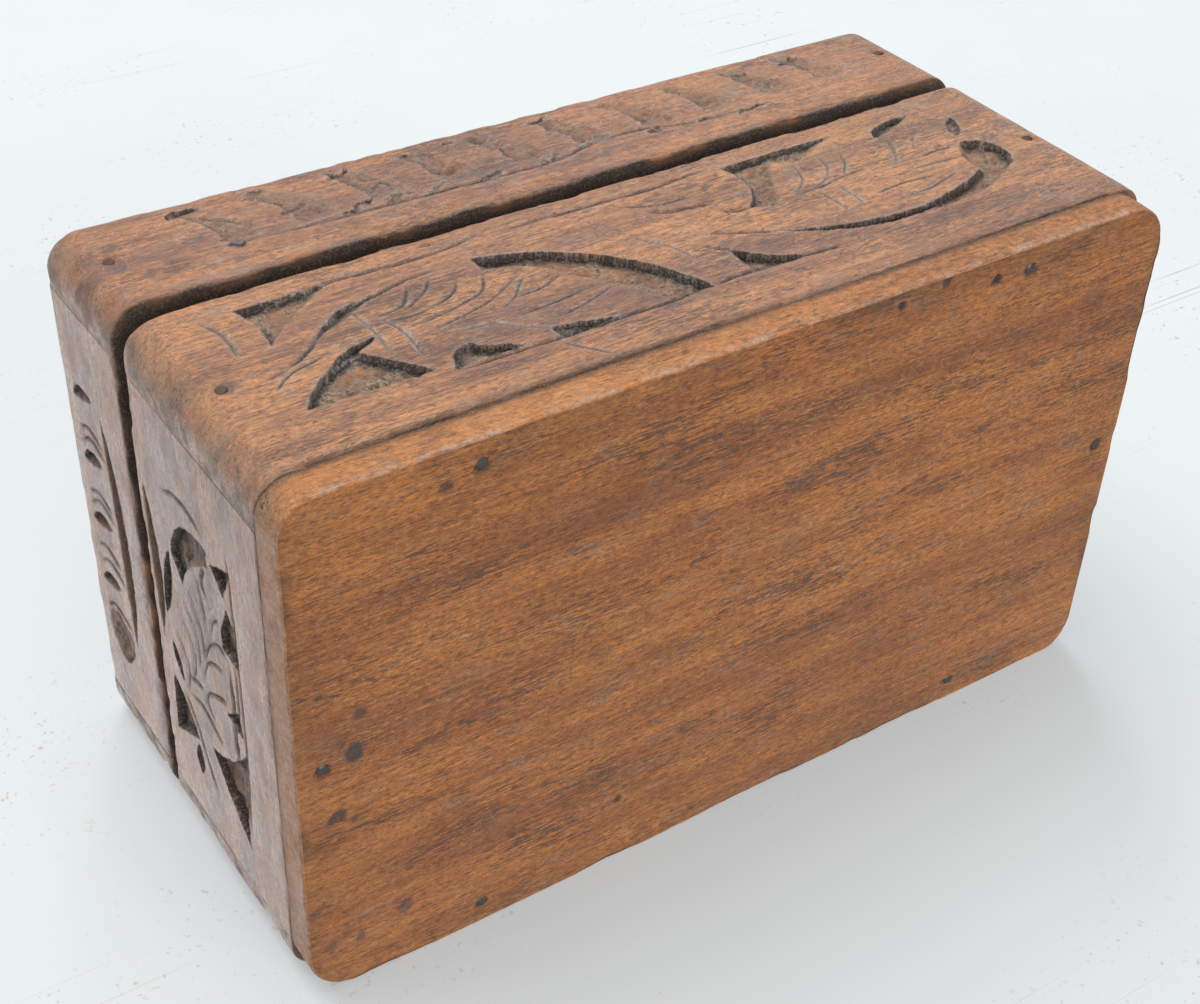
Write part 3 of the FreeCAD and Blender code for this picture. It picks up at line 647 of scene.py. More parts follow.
@dataclass(frozen=True)
class Place:
    """Where a board stands: its own zero and turn, and the tilt of the lid where it has one.

    In a board's own coordinates x runs to the right as seen from outside the box, y runs
    inwards from the outer face and z runs up from the lower edge.
    """

    origin: Triple
    turn: float = 0.0
    tilt: float = 0.0
    pivot: Point = (0.0, 0.0)
    roll: float = 0.0
    swell: Optional[Swell] = None

    def _stand(self) -> Matrix:
        """Matrix that stands the board in its place."""
        stand = Matrix.Translation(Vector(self.origin)) @ Matrix.Rotation(math.radians(self.turn), 4, "Z")
        return stand @ Matrix.Rotation(math.radians(self.roll), 4, "X")

    def _lean(self) -> Matrix:
        """Matrix that tilts it with the lid and turns millimetres into metres.

        Returns:
            The matrix.
        """
        lift = Matrix.Translation(Vector((0.0, *self.pivot)))
        lean = Matrix.Rotation(math.radians(self.tilt), 4, Vector((-1.0, 0.0, 0.0)))
        return Matrix.Scale(MM, 4) @ lift @ lean @ lift.inverted()

    def matrix(self) -> Matrix:
        """Matrix from the board's millimetres to the frame's metres."""
        return self._lean() @ self._stand()

    def apply(self, points: Array) -> Array:
        """Move rows of x, y and z in the board's own millimetres into the frame's metres.

        Args:
            points: Rows of x, y and z, in millimetres.

        Returns:
            The rows in the frame, in metres.
        """
        stand, lean = np.array(self._stand()), np.array(self._lean())
        points = points @ stand[:3, :3].T + stand[:3, 3]
        if self.swell:
            points = self.swell.lift(points)
        return points @ lean[:3, :3].T + lean[:3, 3]


def lid_place(sizes: BoxSizes, origin: Triple, turn: float = 0.0, roll: float = 0.0) -> Place:
    """Place of a piece of the lid, whose heights are above the lid's rim.

    Args:
        sizes: Sizes of the box.
        origin: Its place, with the height above the lid's rim.
        turn: Turn about the upright axis.
        roll: Turn about the length.

    Returns:
        The place.
    """
    x, y, z = origin
    swell = Swell(sizes.lid_rim, sizes.lid_height, sizes.length / 2)
    pivot = (sizes.hinge_y, sizes.hinge_z)
    return Place((x, y, sizes.lid_rim + z), turn, sizes.rest_angle, pivot, roll, swell)


def link_object(name: str, data: bpy.types.ID) -> bpy.types.Object:
    """Make an object of a mesh, a lamp or a camera and put it in the scene.

    Args:
        name: Name of the object.
        data: Its mesh, lamp or camera.

    Returns:
        The object.
    """
    made = bpy.data.objects.new(name, data)
    bpy.context.scene.collection.objects.link(made)
    return made


def mesh_from(name: str, shape: Shape, smooth_angle: float) -> Mesh:
    """Finish a bmesh as a smooth mesh whose normals point outwards.

    Args:
        name: Name of the mesh.
        shape: The bmesh, which is freed.
        smooth_angle: Edges sharper than this many degrees stay sharp.

    Returns:
        The mesh.
    """
    bmesh.ops.recalc_face_normals(shape, faces=shape.faces[:])
    mesh = bpy.data.meshes.new(name)
    shape.to_mesh(mesh)
    shape.free()
    mesh.shade_smooth()
    mesh.set_sharp_from_angle(angle=math.radians(smooth_angle))
    return mesh


@dataclass
class Piece:
    """One piece of the box and what it stands for.

    Attributes:
        name: Name of the piece.
        node: Node of the frame that it replaces.
        slot: Material slot of the record; not used.
        body: Body that it rides on.
        finish: Material.
    """

    name: str
    node: str
    slot: str
    body: Body
    finish: Material

    def settle(self, mesh: Mesh) -> None:
        """Make an object of the finished mesh, tie it to its body and hide the node that it replaces.

        Args:
            mesh: The finished mesh.
        """
        mesh.materials.append(self.finish)
        piece = link_object(self.name, mesh)
        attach(piece, self.body.value)
        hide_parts(self.node)
        LOG.info("%s: %d faces, on %s", self.name, len(mesh.polygons), self.body.value)


class Sheet:
    """Fine grid over a board's outer face, with rings that close it round the back."""

    def __init__(self, columns: int, rows: int, rings: int) -> None:
        """Make the grid.

        Args:
            columns: Points along the face.
            rows: Points across the face.
            rings: Loops extruded from the rim; the last one is filled.
        """
        shape = bmesh.new()
        bmesh.ops.create_grid(shape, x_segments=columns - 1, y_segments=rows - 1, size=0.5)
        rim = [edge for edge in shape.edges if edge.is_boundary]
        for _ in range(rings):
            grown = bmesh.ops.extrude_edge_only(shape, edges=rim)["geom"]
            moved = [item for item in grown if isinstance(item, bmesh.types.BMVert)]
            bmesh.ops.translate(shape, verts=moved, vec=(0.0, 0.0, 1.0))
            rim = [item for item in grown if isinstance(item, bmesh.types.BMEdge) and item.is_boundary]
        bmesh.ops.edgeloop_fill(shape, edges=rim)
        shape.verts.index_update()
        self.shape = shape
        grid = np.array([vertex.co for vertex in shape.verts])
        span = grid.max(0) - grid.min(0)
        steps = np.array([columns - 1, rows - 1, rings])
        index = np.rint((grid - grid.min(0)) / span * steps).astype(int)
        self.column, self.row, self.ring = index.T

    def pick(self, grid: Array) -> Array:
        """Value of a grid at the row and column of each vertex."""
        return grid[self.row, self.column]

    def finish(self, name: str, points: Array, marks: dict[Mark, Array]) -> Mesh:
        """Put the vertices in place and store the marks.

        Args:
            name: Name of the mesh.
            points: Place of each vertex, in metres.
            marks: Value of each mark at each vertex.

        Returns:
            The mesh.
        """
        for vertex, point in zip(self.shape.verts, points.tolist()):
            vertex.co = point
        mesh = mesh_from(name, self.shape, 50.0)
        for mark, values in marks.items():
            layer = mesh.attributes.new(mark.value, "FLOAT", "POINT")
            layer.data.foreach_set("value", np.clip(values, 0.0, 1.0).astype(np.float32))
        return mesh


def blurred(grid: Array, reach: int) -> Array:
    """Mean of a grid over a square window.

    Args:
        grid: Values in rows and columns.
        reach: Half the window, in points.

    Returns:
        The smoothed grid.
    """
    width = 2 * reach + 1
    for axis in (0, 1):
        padding = [(0, 0), (0, 0)]
        padding[axis] = (reach + 1, reach)
        total = np.cumsum(np.pad(grid, padding, mode="edge"), axis=axis)
        upper = np.take(total, range(width, total.shape[axis]), axis=axis)
        lower = np.take(total, range(0, total.shape[axis] - width), axis=axis)
        grid = (upper - lower) / width
    return grid


@dataclass
class Face:
    """Points of a board's carved face.

    Attributes:
        along: Distance along the face from its middle, unrolled round the corners.
        across: Distance across it: the height of an upright board, the depth of a flat one.
        inset: Distance in from an upright board's face, or from a flat board's rim.
        noise: Noise that the patches of wear and soiling are drawn from.
    """

    along: Array
    across: Array
    inset: Array
    noise: Noise

    def patches(self, base: float, size: float, octaves: int = 3, shift: float = 0.0) -> Array:
        """Ragged patches, from 0 to 1, that cover more the higher their base value is."""
        return np.clip(base + self.noise.rough(self.along + shift, self.across, size, octaves), 0.0, 1.0)


@dataclass
class Board(Piece):
    """Upright board with a carved or plain outer face.

    Attributes:
        place: Where it stands.
        relief: Carving of the face.
        corner: Radius of its upright outer corners, 0 for a board between two others.
        top_round: Radius of the upper outer edge.
        low_round: Radius of the lower outer edge.
        ledge: Depth of the rebate that the inner top edge has, 0 for none.
        ledge_width: Width of that rebate.
        pitch: Distance between the points of the face.
        seam: How black the joint under the board is, from 0 to 1.
        joint_round: Radius of its ends where it meets the next board.
        rim_reach: How far the fine mesh goes in over the rims.
        round_steps: Steps of the rounded lower edge.
        notches: Start and end of each notch for a hinge, along the board.
        notch_reach: How far they go in from the face.
        notch_at_top: True for notches in the upper rim.
        step: Half the width of the steep sides of a notch.
    """

    place: Place
    relief: Relief
    length: float
    height: float
    thickness: float
    corner: float = 0.0
    top_round: float = 0.8
    low_round: float = 0.5
    ledge: float = 0.0
    ledge_width: float = 0.0
    pitch: float = 0.37
    seam: float = 0.9
    joint_round: float = 0.25
    rim_reach: float = 4.0
    round_steps: int = 4
    notches: Line = ()
    notch_depth: float = 0.0
    notch_reach: float = 0.0
    notch_at_top: bool = True
    step: float = 0.06

    @property
    def flat(self) -> float:
        """Half the length of the flat part of the outer face."""
        return self.length / 2 - self.corner

    @property
    def half_developed(self) -> float:
        """Half the unrolled length of the outer face.

        Returns:
            The length in millimetres.
        """
        if not self.corner:
            return self.flat
        return self.flat + self.corner * math.pi / 2 + self.thickness - self.corner

    def build(self) -> None:
        """Make the board."""
        along = self._developed()
        inset, rise = self._profile()
        sheet = Sheet(len(along), len(rise), 2 if self.ledge else 1)
        face = self._face(along, inset, rise)
        cut = self.relief.cut(face.along, face.across)
        on_face = 1.0 - smoothstep(0.0, 0.4, face.inset)
        from_top = self.height - face.across
        depth = cut.depth * on_face + self._worn(face, from_top)
        self._wave(face, from_top)
        marks = {mark: values * on_face for mark, values in cut.marks.items()}
        self._soil(face, from_top, depth, marks, on_face)
        behind = {mark: 0.35 if mark is Mark.GRIME_AND_SHADE else 0.0 for mark in Mark}
        picked = {mark: np.where(sheet.ring > 0, behind[mark], sheet.pick(marks[mark])) for mark in Mark}
        points = self.place.apply(self._points(sheet, face, rise, depth))
        self.settle(sheet.finish(self.name, points, picked))

    def _developed(self) -> Array:
        """Distances along the outer face, unrolled round the corners, from the middle.

        Returns:
            The distances in rising order.
        """
        face = np.linspace(-self.flat, self.flat, int(2 * self.flat / self.pitch) + 1)
        end = self.half_developed
        edge = list(end - self.joint_round * np.array([0.9, 0.6, 0.3, 0.1, 0.0]))
        if self.corner:
            arc = self.corner * math.pi / 2
            edge += list(self.flat + np.linspace(0, arc, 15)[1:])
            straight = self.thickness - self.corner - self.joint_round
            edge += list(self.flat + arc + np.linspace(0, straight, 5)[1:])
        else:
            face = face[np.abs(face) < end - self.joint_round]
        for limit in (limit for notch in self.notches for limit in notch):
            face = face[np.abs(face - limit) > 5 * self.step]
            face = np.concatenate((face, (limit - self.step, limit + self.step)))
        outer = np.array(sorted(set(edge)))
        return np.concatenate((-outer[::-1], np.sort(face), outer))

    def _profile(self) -> tuple[Array, Array]:
        """Section of the outer face.

        Returns:
            Distances in from the face and heights, from the lower inner end to the upper one.
        """
        quarter = np.linspace(0.0, math.pi / 2, self.round_steps + 1)
        top_quarter = np.linspace(0.0, math.pi / 2, 2 * self.round_steps + 1)
        reach = self.ledge_width or self.rim_reach
        low_in = np.array([self.rim_reach, 0.5 * (self.rim_reach + self.low_round)])
        top_in = np.array([0.5 * (reach + self.top_round), reach - 0.25, reach])
        if self.notches:
            wall = np.array([-1.6, -self.step, self.step, self.rim_reach - self.notch_reach])
            wall = self.notch_reach + wall
            low_in, top_in = (low_in, wall) if self.notch_at_top else (wall[::-1], top_in)
        top_drop = np.zeros_like(top_in)
        if self.ledge:
            top_drop[-1] = 0.3
        face_end = self.height - self.top_round - 0.3 * self.pitch
        face = np.arange(self.low_round + self.pitch, face_end, self.pitch)
        inset = [low_in, self.low_round * (1 - np.sin(quarter)), np.zeros_like(face)]
        rise = [0 * low_in, self.low_round * (1 - np.cos(quarter)), face]
        inset += [self.top_round * (1 - np.cos(top_quarter)), top_in]
        rise += [self.height - self.top_round * (1 - np.sin(top_quarter)), self.height - top_drop]
        return np.concatenate(inset), np.concatenate(rise)

    def _face(self, along: Array, inset: Array, rise: Array) -> Face:
        """Points of the face, with those of its flat part drawn onto the lines of the carving.

        Args:
            along: Unrolled distances of the columns.
            inset: Insets of the rows.
            rise: Heights of the rows.

        Returns:
            The points.
        """
        s, z = np.meshgrid(along, rise)
        d = np.meshgrid(along, inset)[1]
        drawn_s, drawn_z = self.relief.snap(s, z, self.pitch)
        flat = (d == 0.0) & (np.abs(s) < self.flat - self.pitch)
        noise = Noise(self.relief.seed + 100)
        return Face(np.where(flat, drawn_s, s), np.where(flat, drawn_z, z), d, noise)

    def _to_end(self, face: Face) -> Array:
        """Distance of the points from the nearer end of the board."""
        return np.clip(self.half_developed - np.abs(face.along), 0.0, None)

    def _worn(self, face: Face, from_top: Array) -> Array:
        """Depth that the long edges are worn by and that both ends are rounded by.

        Args:
            face: Points of the face.
            from_top: Their distance from the upper edge.

        Returns:
            Depth at each point.
        """
        worn = 0.55 * np.exp(-from_top / 1.3) * face.patches(0.2, 6.0)
        worn += self.seam * np.exp(-face.across) * face.patches(0.1, 5.0, shift=400)
        joint = np.clip(1.0 - self._to_end(face) / self.joint_round, 0.0, 1.0)
        return worn + self.joint_round * (1.0 - np.sqrt(np.clip(1.0 - joint**2, 0.0, 1.0)))

    def _wave(self, face: Face, from_top: Array) -> None:
        """Bend the long edges a little, and cut the notches of the hinges into a rim.

        Args:
            face: Points of the face, which are moved.
            from_top: Their distance from the upper edge.
        """
        wave = 0.16 * face.noise.rough(face.along, 0 * face.along, 30.0, 4)
        to_edge = np.where(face.across > self.height / 2, from_top, face.across)
        face.across = face.across + wave * np.exp(-to_edge / 6.0)
        if not self.notches:
            return
        share = np.zeros(face.along.shape)
        for start, end in self.notches:
            opened = smoothstep(start - self.step, start + self.step, face.along)
            share += opened * smoothstep(-end - self.step, -end + self.step, -face.along)
        share *= 1.0 - smoothstep(self.notch_reach - self.step, self.notch_reach + self.step, face.inset)
        from_rim = (from_top if self.notch_at_top else face.across) / (3.0 * self.notch_depth)
        drop = self.notch_depth * share * (1.0 - np.clip(from_rim, 0.0, 1.0))
        face.across = face.across + (-drop if self.notch_at_top else drop)

    def _soil(self, face: Face, from_top: Array, depth: Array, marks: dict[Mark, Array],
              on_face: Array) -> None:
        """Add the soiling and wear of edges, joints and corners to the marks of the carving, with painted
        shade in hollows and on the rims in the gap between lid and body.

        Args:
            face: Points of the face.
            from_top: Their distance from the upper edge.
            depth: Their depth under the face.
            marks: Marks of the carving, which are changed.
            on_face: 1 for points of the face, 0 for those of the rims.
        """
        hollow = depth - blurred(depth, 4)
        seam = np.exp(-np.clip(face.across, 0.0, None) / 0.8)
        seam = seam * (0.8 + 0.6 * face.noise.rough(face.along, face.across, 5.0, 3))
        joint = 0.5 + 0.6 * face.noise.at(face.along, face.across, 4.0)
        dirt_and_shade = [
            # Painted shade in hollows, mixed with soiling
            np.clip(hollow * 1.5, 0.0, 0.7),
            self.seam * np.clip(seam, 0.0, 1.0),
            0.4 * joint * np.exp(-self._to_end(face) / 0.35),
            # Darker rims: soiling, and painted shade in the gap between lid and body
            0.88 * smoothstep(0.4, 2.0, face.inset),
        ]
        wear = 0.9 * np.exp(-from_top / 1.6) * face.patches(0.5, 7.0) * on_face
        wear += np.clip(-hollow * 2.2, 0.0, 0.8)
        if self.corner:
            reach, end = np.abs(face.along), self.length / 2
            wear += 0.75 * smoothstep(self.flat - 2, end + 2, reach) * face.patches(0.55, 9.0)
            turned = smoothstep(self.flat, end + 1, reach) * on_face
            dirt_and_shade.append(0.6 * turned * face.patches(0.25, 3.0, 4))
            dusty = 0.7 * turned * on_face * face.patches(0.2, 4.0, 4, 40)
            dull = turned * on_face * face.patches(0.25, 5.0, 4, 90)
            marks[Mark.DUST] = np.maximum(marks[Mark.DUST], dusty)
            marks[Mark.BLOOM] = np.maximum(marks[Mark.BLOOM], dull)
        marks[Mark.GRIME_AND_SHADE] = np.maximum.reduce([marks[Mark.GRIME_AND_SHADE], *dirt_and_shade])
        marks[Mark.WEAR] = wear

    def _plan(self, along: Array) -> tuple[Array, Array]:
        """Plan of the outer face.

        Args:
            along: Unrolled distances from the middle.

        Returns:
            Points of the plan, and the directions that point out of the board there.
        """
        if not self.corner:
            zero = np.zeros_like(along)
            return np.column_stack((along, zero)), np.column_stack((zero, zero - 1))
        sign = np.sign(along)
        past = np.abs(along) - self.flat
        angle = np.clip(past / self.corner, 0.0, math.pi / 2)
        straight = np.clip(past - self.corner * math.pi / 2, 0.0, None)
        x = np.where(past > 0, sign * (self.flat + self.corner * np.sin(angle)), along)
        y = self.corner * (1 - np.cos(angle)) + straight
        return np.column_stack((x, y)), np.column_stack((sign * np.sin(angle), -np.cos(angle)))

    def _points(self, sheet: Sheet, face: Face, rise: Array, depth: Array) -> Array:
        """Place the vertices in the board's own coordinates.

        Args:
            sheet: Grid of the face.
            face: Points of the face.
            rise: Heights of the grid's rows.
            depth: Depth of the points under the face.

        Returns:
            Rows of x, y and z: the carved face, and the flat back behind it.
        """
        plan, out = self._plan(sheet.pick(face.along))
        outer = plan - out * sheet.pick(face.inset + depth)[:, None]
        limit = self.length / 2 - self.joint_round - 0.25
        inner = np.column_stack((np.clip(plan[:, 0], -limit, limit), np.full(len(plan), self.thickness)))
        half_way = np.where(sheet.row == len(rise) - 1, 0.02, 0.5)
        inward = np.where(sheet.ring == sheet.ring.max(), 1.0, np.where(sheet.ring == 0, 0.0, half_way))
        flat = outer + inward[:, None] * (inner - outer)
        back_z = rise[sheet.row] * (self.height - self.ledge) / self.height
        return np.column_stack((flat, np.where(sheet.ring > 0, back_z, sheet.pick(face.across))))


@dataclass
class Slab(Piece):
    """Flat board whose broad face shows: the base, seen from below, or the lid's panel.

    Attributes:
        place: Where it lies; its broad face is at z 0 and its thickness goes down from there.
        relief: Carving or wear of the broad face.
        corners: Radius of its corners in plan: low left, low right, high left and high right.
        edge_round: Radius of the edge of the broad face.
        back_round: Radius of the edge of the far face.
        wear: How far the edge is worn in places.
        pitch: Distance between the points of the face.
        round_steps: Steps of each rounded edge.
        side_steps: Steps of the flat side.
    """

    place: Place
    relief: Relief
    length: float
    width: float
    thickness: float
    corners: tuple[float, float, float, float]
    edge_round: float
    back_round: float
    wear: float
    pitch: float = 0.58
    round_steps: int = 4
    side_steps: int = 5

    @property
    def half(self) -> Array:
        """Half the size of the broad face inside its rounded edge, along x and y."""
        return np.array((self.length, self.width)) / 2 - self.edge_round

    def build(self) -> None:
        """Make the board."""
        xs, ys = (np.linspace(-half, half, int(2 * half / self.pitch) + 1) for half in self.half)
        out, down = self._rings()
        sheet = Sheet(len(xs), len(ys), len(out) - 1)
        face = self._face(xs, ys)
        cut = self.relief.cut(face.along, face.across)
        worn = face.patches(0.0, 11.0, 4) * self.wear
        depth = cut.depth + worn * np.exp(-face.inset / 1.2)
        self._soil(face, depth, cut.marks)
        x, y = sheet.pick(face.along), sheet.pick(face.across)
        outward = self._outward(x, y)
        on_side, sunk = sheet.ring > 0, down[sheet.ring]
        eaten = sheet.pick(worn) * np.where(on_side, np.exp(-sunk / 2.5), 0.0)
        pushed = np.where(on_side, out[sheet.ring] - eaten, 0.0)
        x, y = x + outward[0] * pushed, y + outward[1] * pushed
        z = -sunk - np.where(on_side, eaten * 0.6, sheet.pick(depth))
        side = self._side_marks(face.noise, x, y, sunk, outward)
        marks = {mark: np.where(on_side, side[mark], sheet.pick(cut.marks[mark])) for mark in Mark}
        self.settle(sheet.finish(self.name, self.place.apply(np.column_stack((x, y, z))), marks))

    def _rings(self) -> tuple[Array, Array]:
        """Steps of the edge from the broad face to the far one.

        Returns:
            Distances out from the broad face's rim, and depths below the broad face.
        """
        turn = np.linspace(0.0, math.pi / 2, self.round_steps + 1)
        edge, back = self.edge_round, self.back_round
        sides = np.linspace(edge, self.thickness - back, self.side_steps + 1)[1:]
        out = (edge * np.sin(turn), np.full(len(sides), edge), edge - back * (1 - np.cos(turn[1:])))
        down = (edge * (1 - np.cos(turn)), sides, self.thickness - back * (1 - np.sin(turn[1:])))
        return np.concatenate(out), np.concatenate(down)

    def _radius(self, x: Array, y: Array) -> Array:
        """Radius of the corner next to each point of the broad face's rim."""
        low, high = (np.where(x < 0, *self.corners[start:start + 2]) for start in (0, 2))
        return np.maximum(np.where(y < 0, low, high) - self.edge_round, 0.01)

    def _face(self, xs: Array, ys: Array) -> Face:
        """Points of the broad face: a grid with round corners, drawn onto the lines of the carving.

        Args:
            xs: Places of the grid's columns.
            ys: Places of its rows.

        Returns:
            The points.
        """
        x, y = np.meshgrid(xs, ys)
        radius = self._radius(x, y)
        far_x, far_y = (half - radius for half in self.half)
        p = np.clip((np.abs(x) - far_x) / radius, 0.0, 1.0)
        q = np.clip((np.abs(y) - far_y) / radius, 0.0, 1.0)
        x = np.sign(x) * np.where(p > 0, far_x + radius * p * np.sqrt(1 - q * q / 2), np.abs(x))
        y = np.sign(y) * np.where(q > 0, far_y + radius * q * np.sqrt(1 - p * p / 2), np.abs(y))
        inner = np.pad(np.ones((len(ys) - 2, len(xs) - 2), bool), 1)
        drawn_x, drawn_y = self.relief.snap(x, y, self.pitch)
        x, y = np.where(inner, drawn_x, x), np.where(inner, drawn_y, y)
        to_edge = np.minimum(self.half[0] - np.abs(x), self.half[1] - np.abs(y))
        return Face(x, y, np.clip(to_edge, 0.0, None), Noise(self.relief.seed + 200))

    @staticmethod
    def _soil(face: Face, depth: Array, marks: dict[Mark, Array]) -> None:
        """Add the soiling and wear of hollows and edges to the marks of the broad face, with painted shade in
        the hollows.

        Args:
            face: Points of the face.
            depth: Their depth under it.
            marks: Marks of the carving, which are changed.
        """
        hollow = depth - blurred(depth, 3)
        edge_dirt = 0.5 * np.exp(-face.inset / 2.5) * face.patches(0.4, 8.0)
        handled = 0.3 * np.exp(-face.inset / 9.0) * face.patches(0.5, 22.0, 4)
        # Painted shade in hollows mixed with soiling, and soiling along the edges and where hands hold the
        # board
        dirt_and_shade = (np.clip(hollow * 1.5, 0.0, 0.7), edge_dirt, handled)
        marks[Mark.GRIME_AND_SHADE] = np.maximum.reduce([marks[Mark.GRIME_AND_SHADE], *dirt_and_shade])
        marks[Mark.WEAR] = np.clip(-hollow * 2.0, 0.0, 0.7) + 0.5 * np.exp(-face.inset / 1.5)

    def _outward(self, x: Array, y: Array) -> tuple[Array, Array]:
        """Direction, in plan, in which the edge grows out of each point of the rim.

        Args:
            x: First coordinates of the points.
            y: Second coordinates of the points.

        Returns:
            Both coordinates of the direction.
        """
        radius = self._radius(x, y)
        near_x, near_y = (
            np.clip(np.abs(v) - (half - radius), 0.0, None) * np.sign(v) for v, half in zip((x, y), self.half)
        )
        reach = np.maximum(np.hypot(near_x, near_y), 1e-6)
        return near_x / reach, near_y / reach

    def _side_marks(self, noise: Noise, x: Array, y: Array, sunk: Array,
                    outward: tuple[Array, Array]) -> dict[Mark, Array]:
        """Marks of the sides, with a painted highlight along the rounded edge and a grey haze on the ends
        that is partly painted sheen.

        Args:
            noise: Noise that they are drawn from.
            x: First coordinates of the vertices.
            y: Second coordinates of the vertices.
            sunk: Their depths below the broad face.
            outward: Directions that point out of the board.

        Returns:
            Value of each mark at each vertex.
        """
        seam = np.clip(1.4 * np.exp(-(self.thickness - sunk) / 0.8), 0.0, 1.0)
        seam = seam * (0.35 + 0.65 * (np.abs(y) > self.half[1] - 2))
        patchy = np.clip(0.5 + noise.rough(x, y + 3 * sunk, 4.0, 4), 0.0, 1.0)
        rubbed_and_highlight = patchy * np.exp(-np.abs(sunk - 0.5) / 0.45)
        turned = 2 * np.abs(outward[0] * outward[1])
        return {
            Mark.GRIME_AND_SHADE: 0.95 * seam,
            Mark.DUST: 0.9 * turned * patchy * (1 - seam),
            Mark.WEAR: (1 - seam) * (0.55 + 0.45 * patchy),
            Mark.STAIN: 0.0 * seam,
            # The line along the rounded edge is wear and a painted highlight; the ends get a grey haze that
            # is partly painted sheen of grazing reflection
            Mark.BLOOM: np.maximum(1.6 * rubbed_and_highlight, smoothstep(0.3, 1.0, np.abs(outward[0]))),
            Mark.CHALK_AND_HIGHLIGHT: rubbed_and_highlight,
        }


class Tree:
    """Short way to lay out the nodes of a material or of the world."""

    def __init__(self, owner: bpy.types.ID) -> None:
        """Start an empty tree in a material or a world.

        Args:
            owner: The material or world.
        """
        owner.use_nodes = True
        self.nodes, self.links = owner.node_tree.nodes, owner.node_tree.links
        self.nodes.clear()

    def add(self, kind: str, inputs: Optional[dict] = None, **settings: object) -> bpy.types.Node:
        """Add a node.

        Args:
            kind: Type of node, without its ShaderNode prefix.
            inputs: Values or sockets for its inputs, by name or number.
            settings: Properties of the node.

        Returns:
            The node.
        """
        node = self.nodes.new("ShaderNode" + kind)
        for key, value in settings.items():
            setattr(node, key, value)
        for key, value in (inputs or {}).items():
            socket = node.inputs[key]
            if isinstance(value, Socket):
                self.links.new(value, socket)
            else:
                socket.default_value = (*value, 1.0) if socket.type == "RGBA" else value
        return node

    def noise(self, vector: Socket, scale: float, detail: float = 4.0, rough: float = 0.55,
              distortion: float = 0.0) -> Socket:
        """Noise over a vector, from 0 to 1."""
        inputs = {"Vector": vector, "Scale": scale, "Detail": detail, "Roughness": rough}
        return self.add("TexNoise", inputs | {"Distortion": distortion}).outputs["Fac"]

    def grain(self, vector: Socket, along: float, across: float, detail: float = 4.0, rough: float = 0.55,
              distortion: float = 0.0) -> Socket:
        """Noise that is stretched along the grain, from 0 to 1."""
        stretched = self.add("Mapping", {"Vector": vector, "Scale": (along, across, across)})
        return self.noise(stretched.outputs["Vector"], 1.0, detail, rough, distortion)

    def band(self, value: Socket, low: float, high: float) -> Socket:
        """Soft step of a value, from 0 at low to 1 at high."""
        inputs = {"Value": value, "From Min": low, "From Max": high}
        return self.add("MapRange", inputs, interpolation_type="SMOOTHSTEP").outputs["Result"]

    def math(self, operation: str, *values: object) -> Socket:
        """One sum of some values."""
        return self.add("Math", dict(enumerate(values)), operation=operation).outputs[0]

    def times(self, first: object, second: object) -> Socket:
        """Product of two values."""
        return self.math("MULTIPLY", first, second)

    def tint(self, colour: Socket, paint: Triple, cover: Socket, share: float = 1.0) -> Socket:
        """A colour with paint over it where a cover lies, at a share of the cover's strength."""
        inputs = {0: self.times(cover, share), 6: colour, 7: paint}
        return self.add("Mix", inputs, data_type="RGBA", blend_type="MIX").outputs[2]

    def ramp(self, value: Socket, stops: list[tuple[float, Triple]]) -> Socket:
        """Colour ramp over a value.

        Args:
            value: The value.
            stops: Places and colours of the ramp.

        Returns:
            The colour.
        """
        node = self.add("ValToRGB", {"Fac": value})
        elements = node.color_ramp.elements
        while len(elements) < len(stops):
            elements.new(0.5)
        for element, (position, colour) in zip(elements, stops):
            element.position = position
            element.color = (*colour, 1.0)
        return node.outputs["Color"]

    def mark(self, mark: Mark) -> Socket:
        """Value of a surface mark."""
        return self.add("Attribute", attribute_name=mark.value, attribute_type="GEOMETRY").outputs["Fac"]

    def millimetres(self, turn: float = 0.0, offset: Triple = (0, 0, 0)) -> Socket:
        """Object coordinates in millimetres, turned about the upright axis by so many degrees.

        Args:
            turn: Turn about the upright axis, in degrees.
            offset: Shift in millimetres.

        Returns:
            The place as a vector.
        """
        inputs = {"Vector": self.add("TexCoord").outputs["Object"], "Location": offset}
        inputs |= {"Rotation": (0, 0, math.radians(turn)), "Scale": (1 / MM,) * 3}
        return self.add("Mapping", inputs).outputs["Vector"]


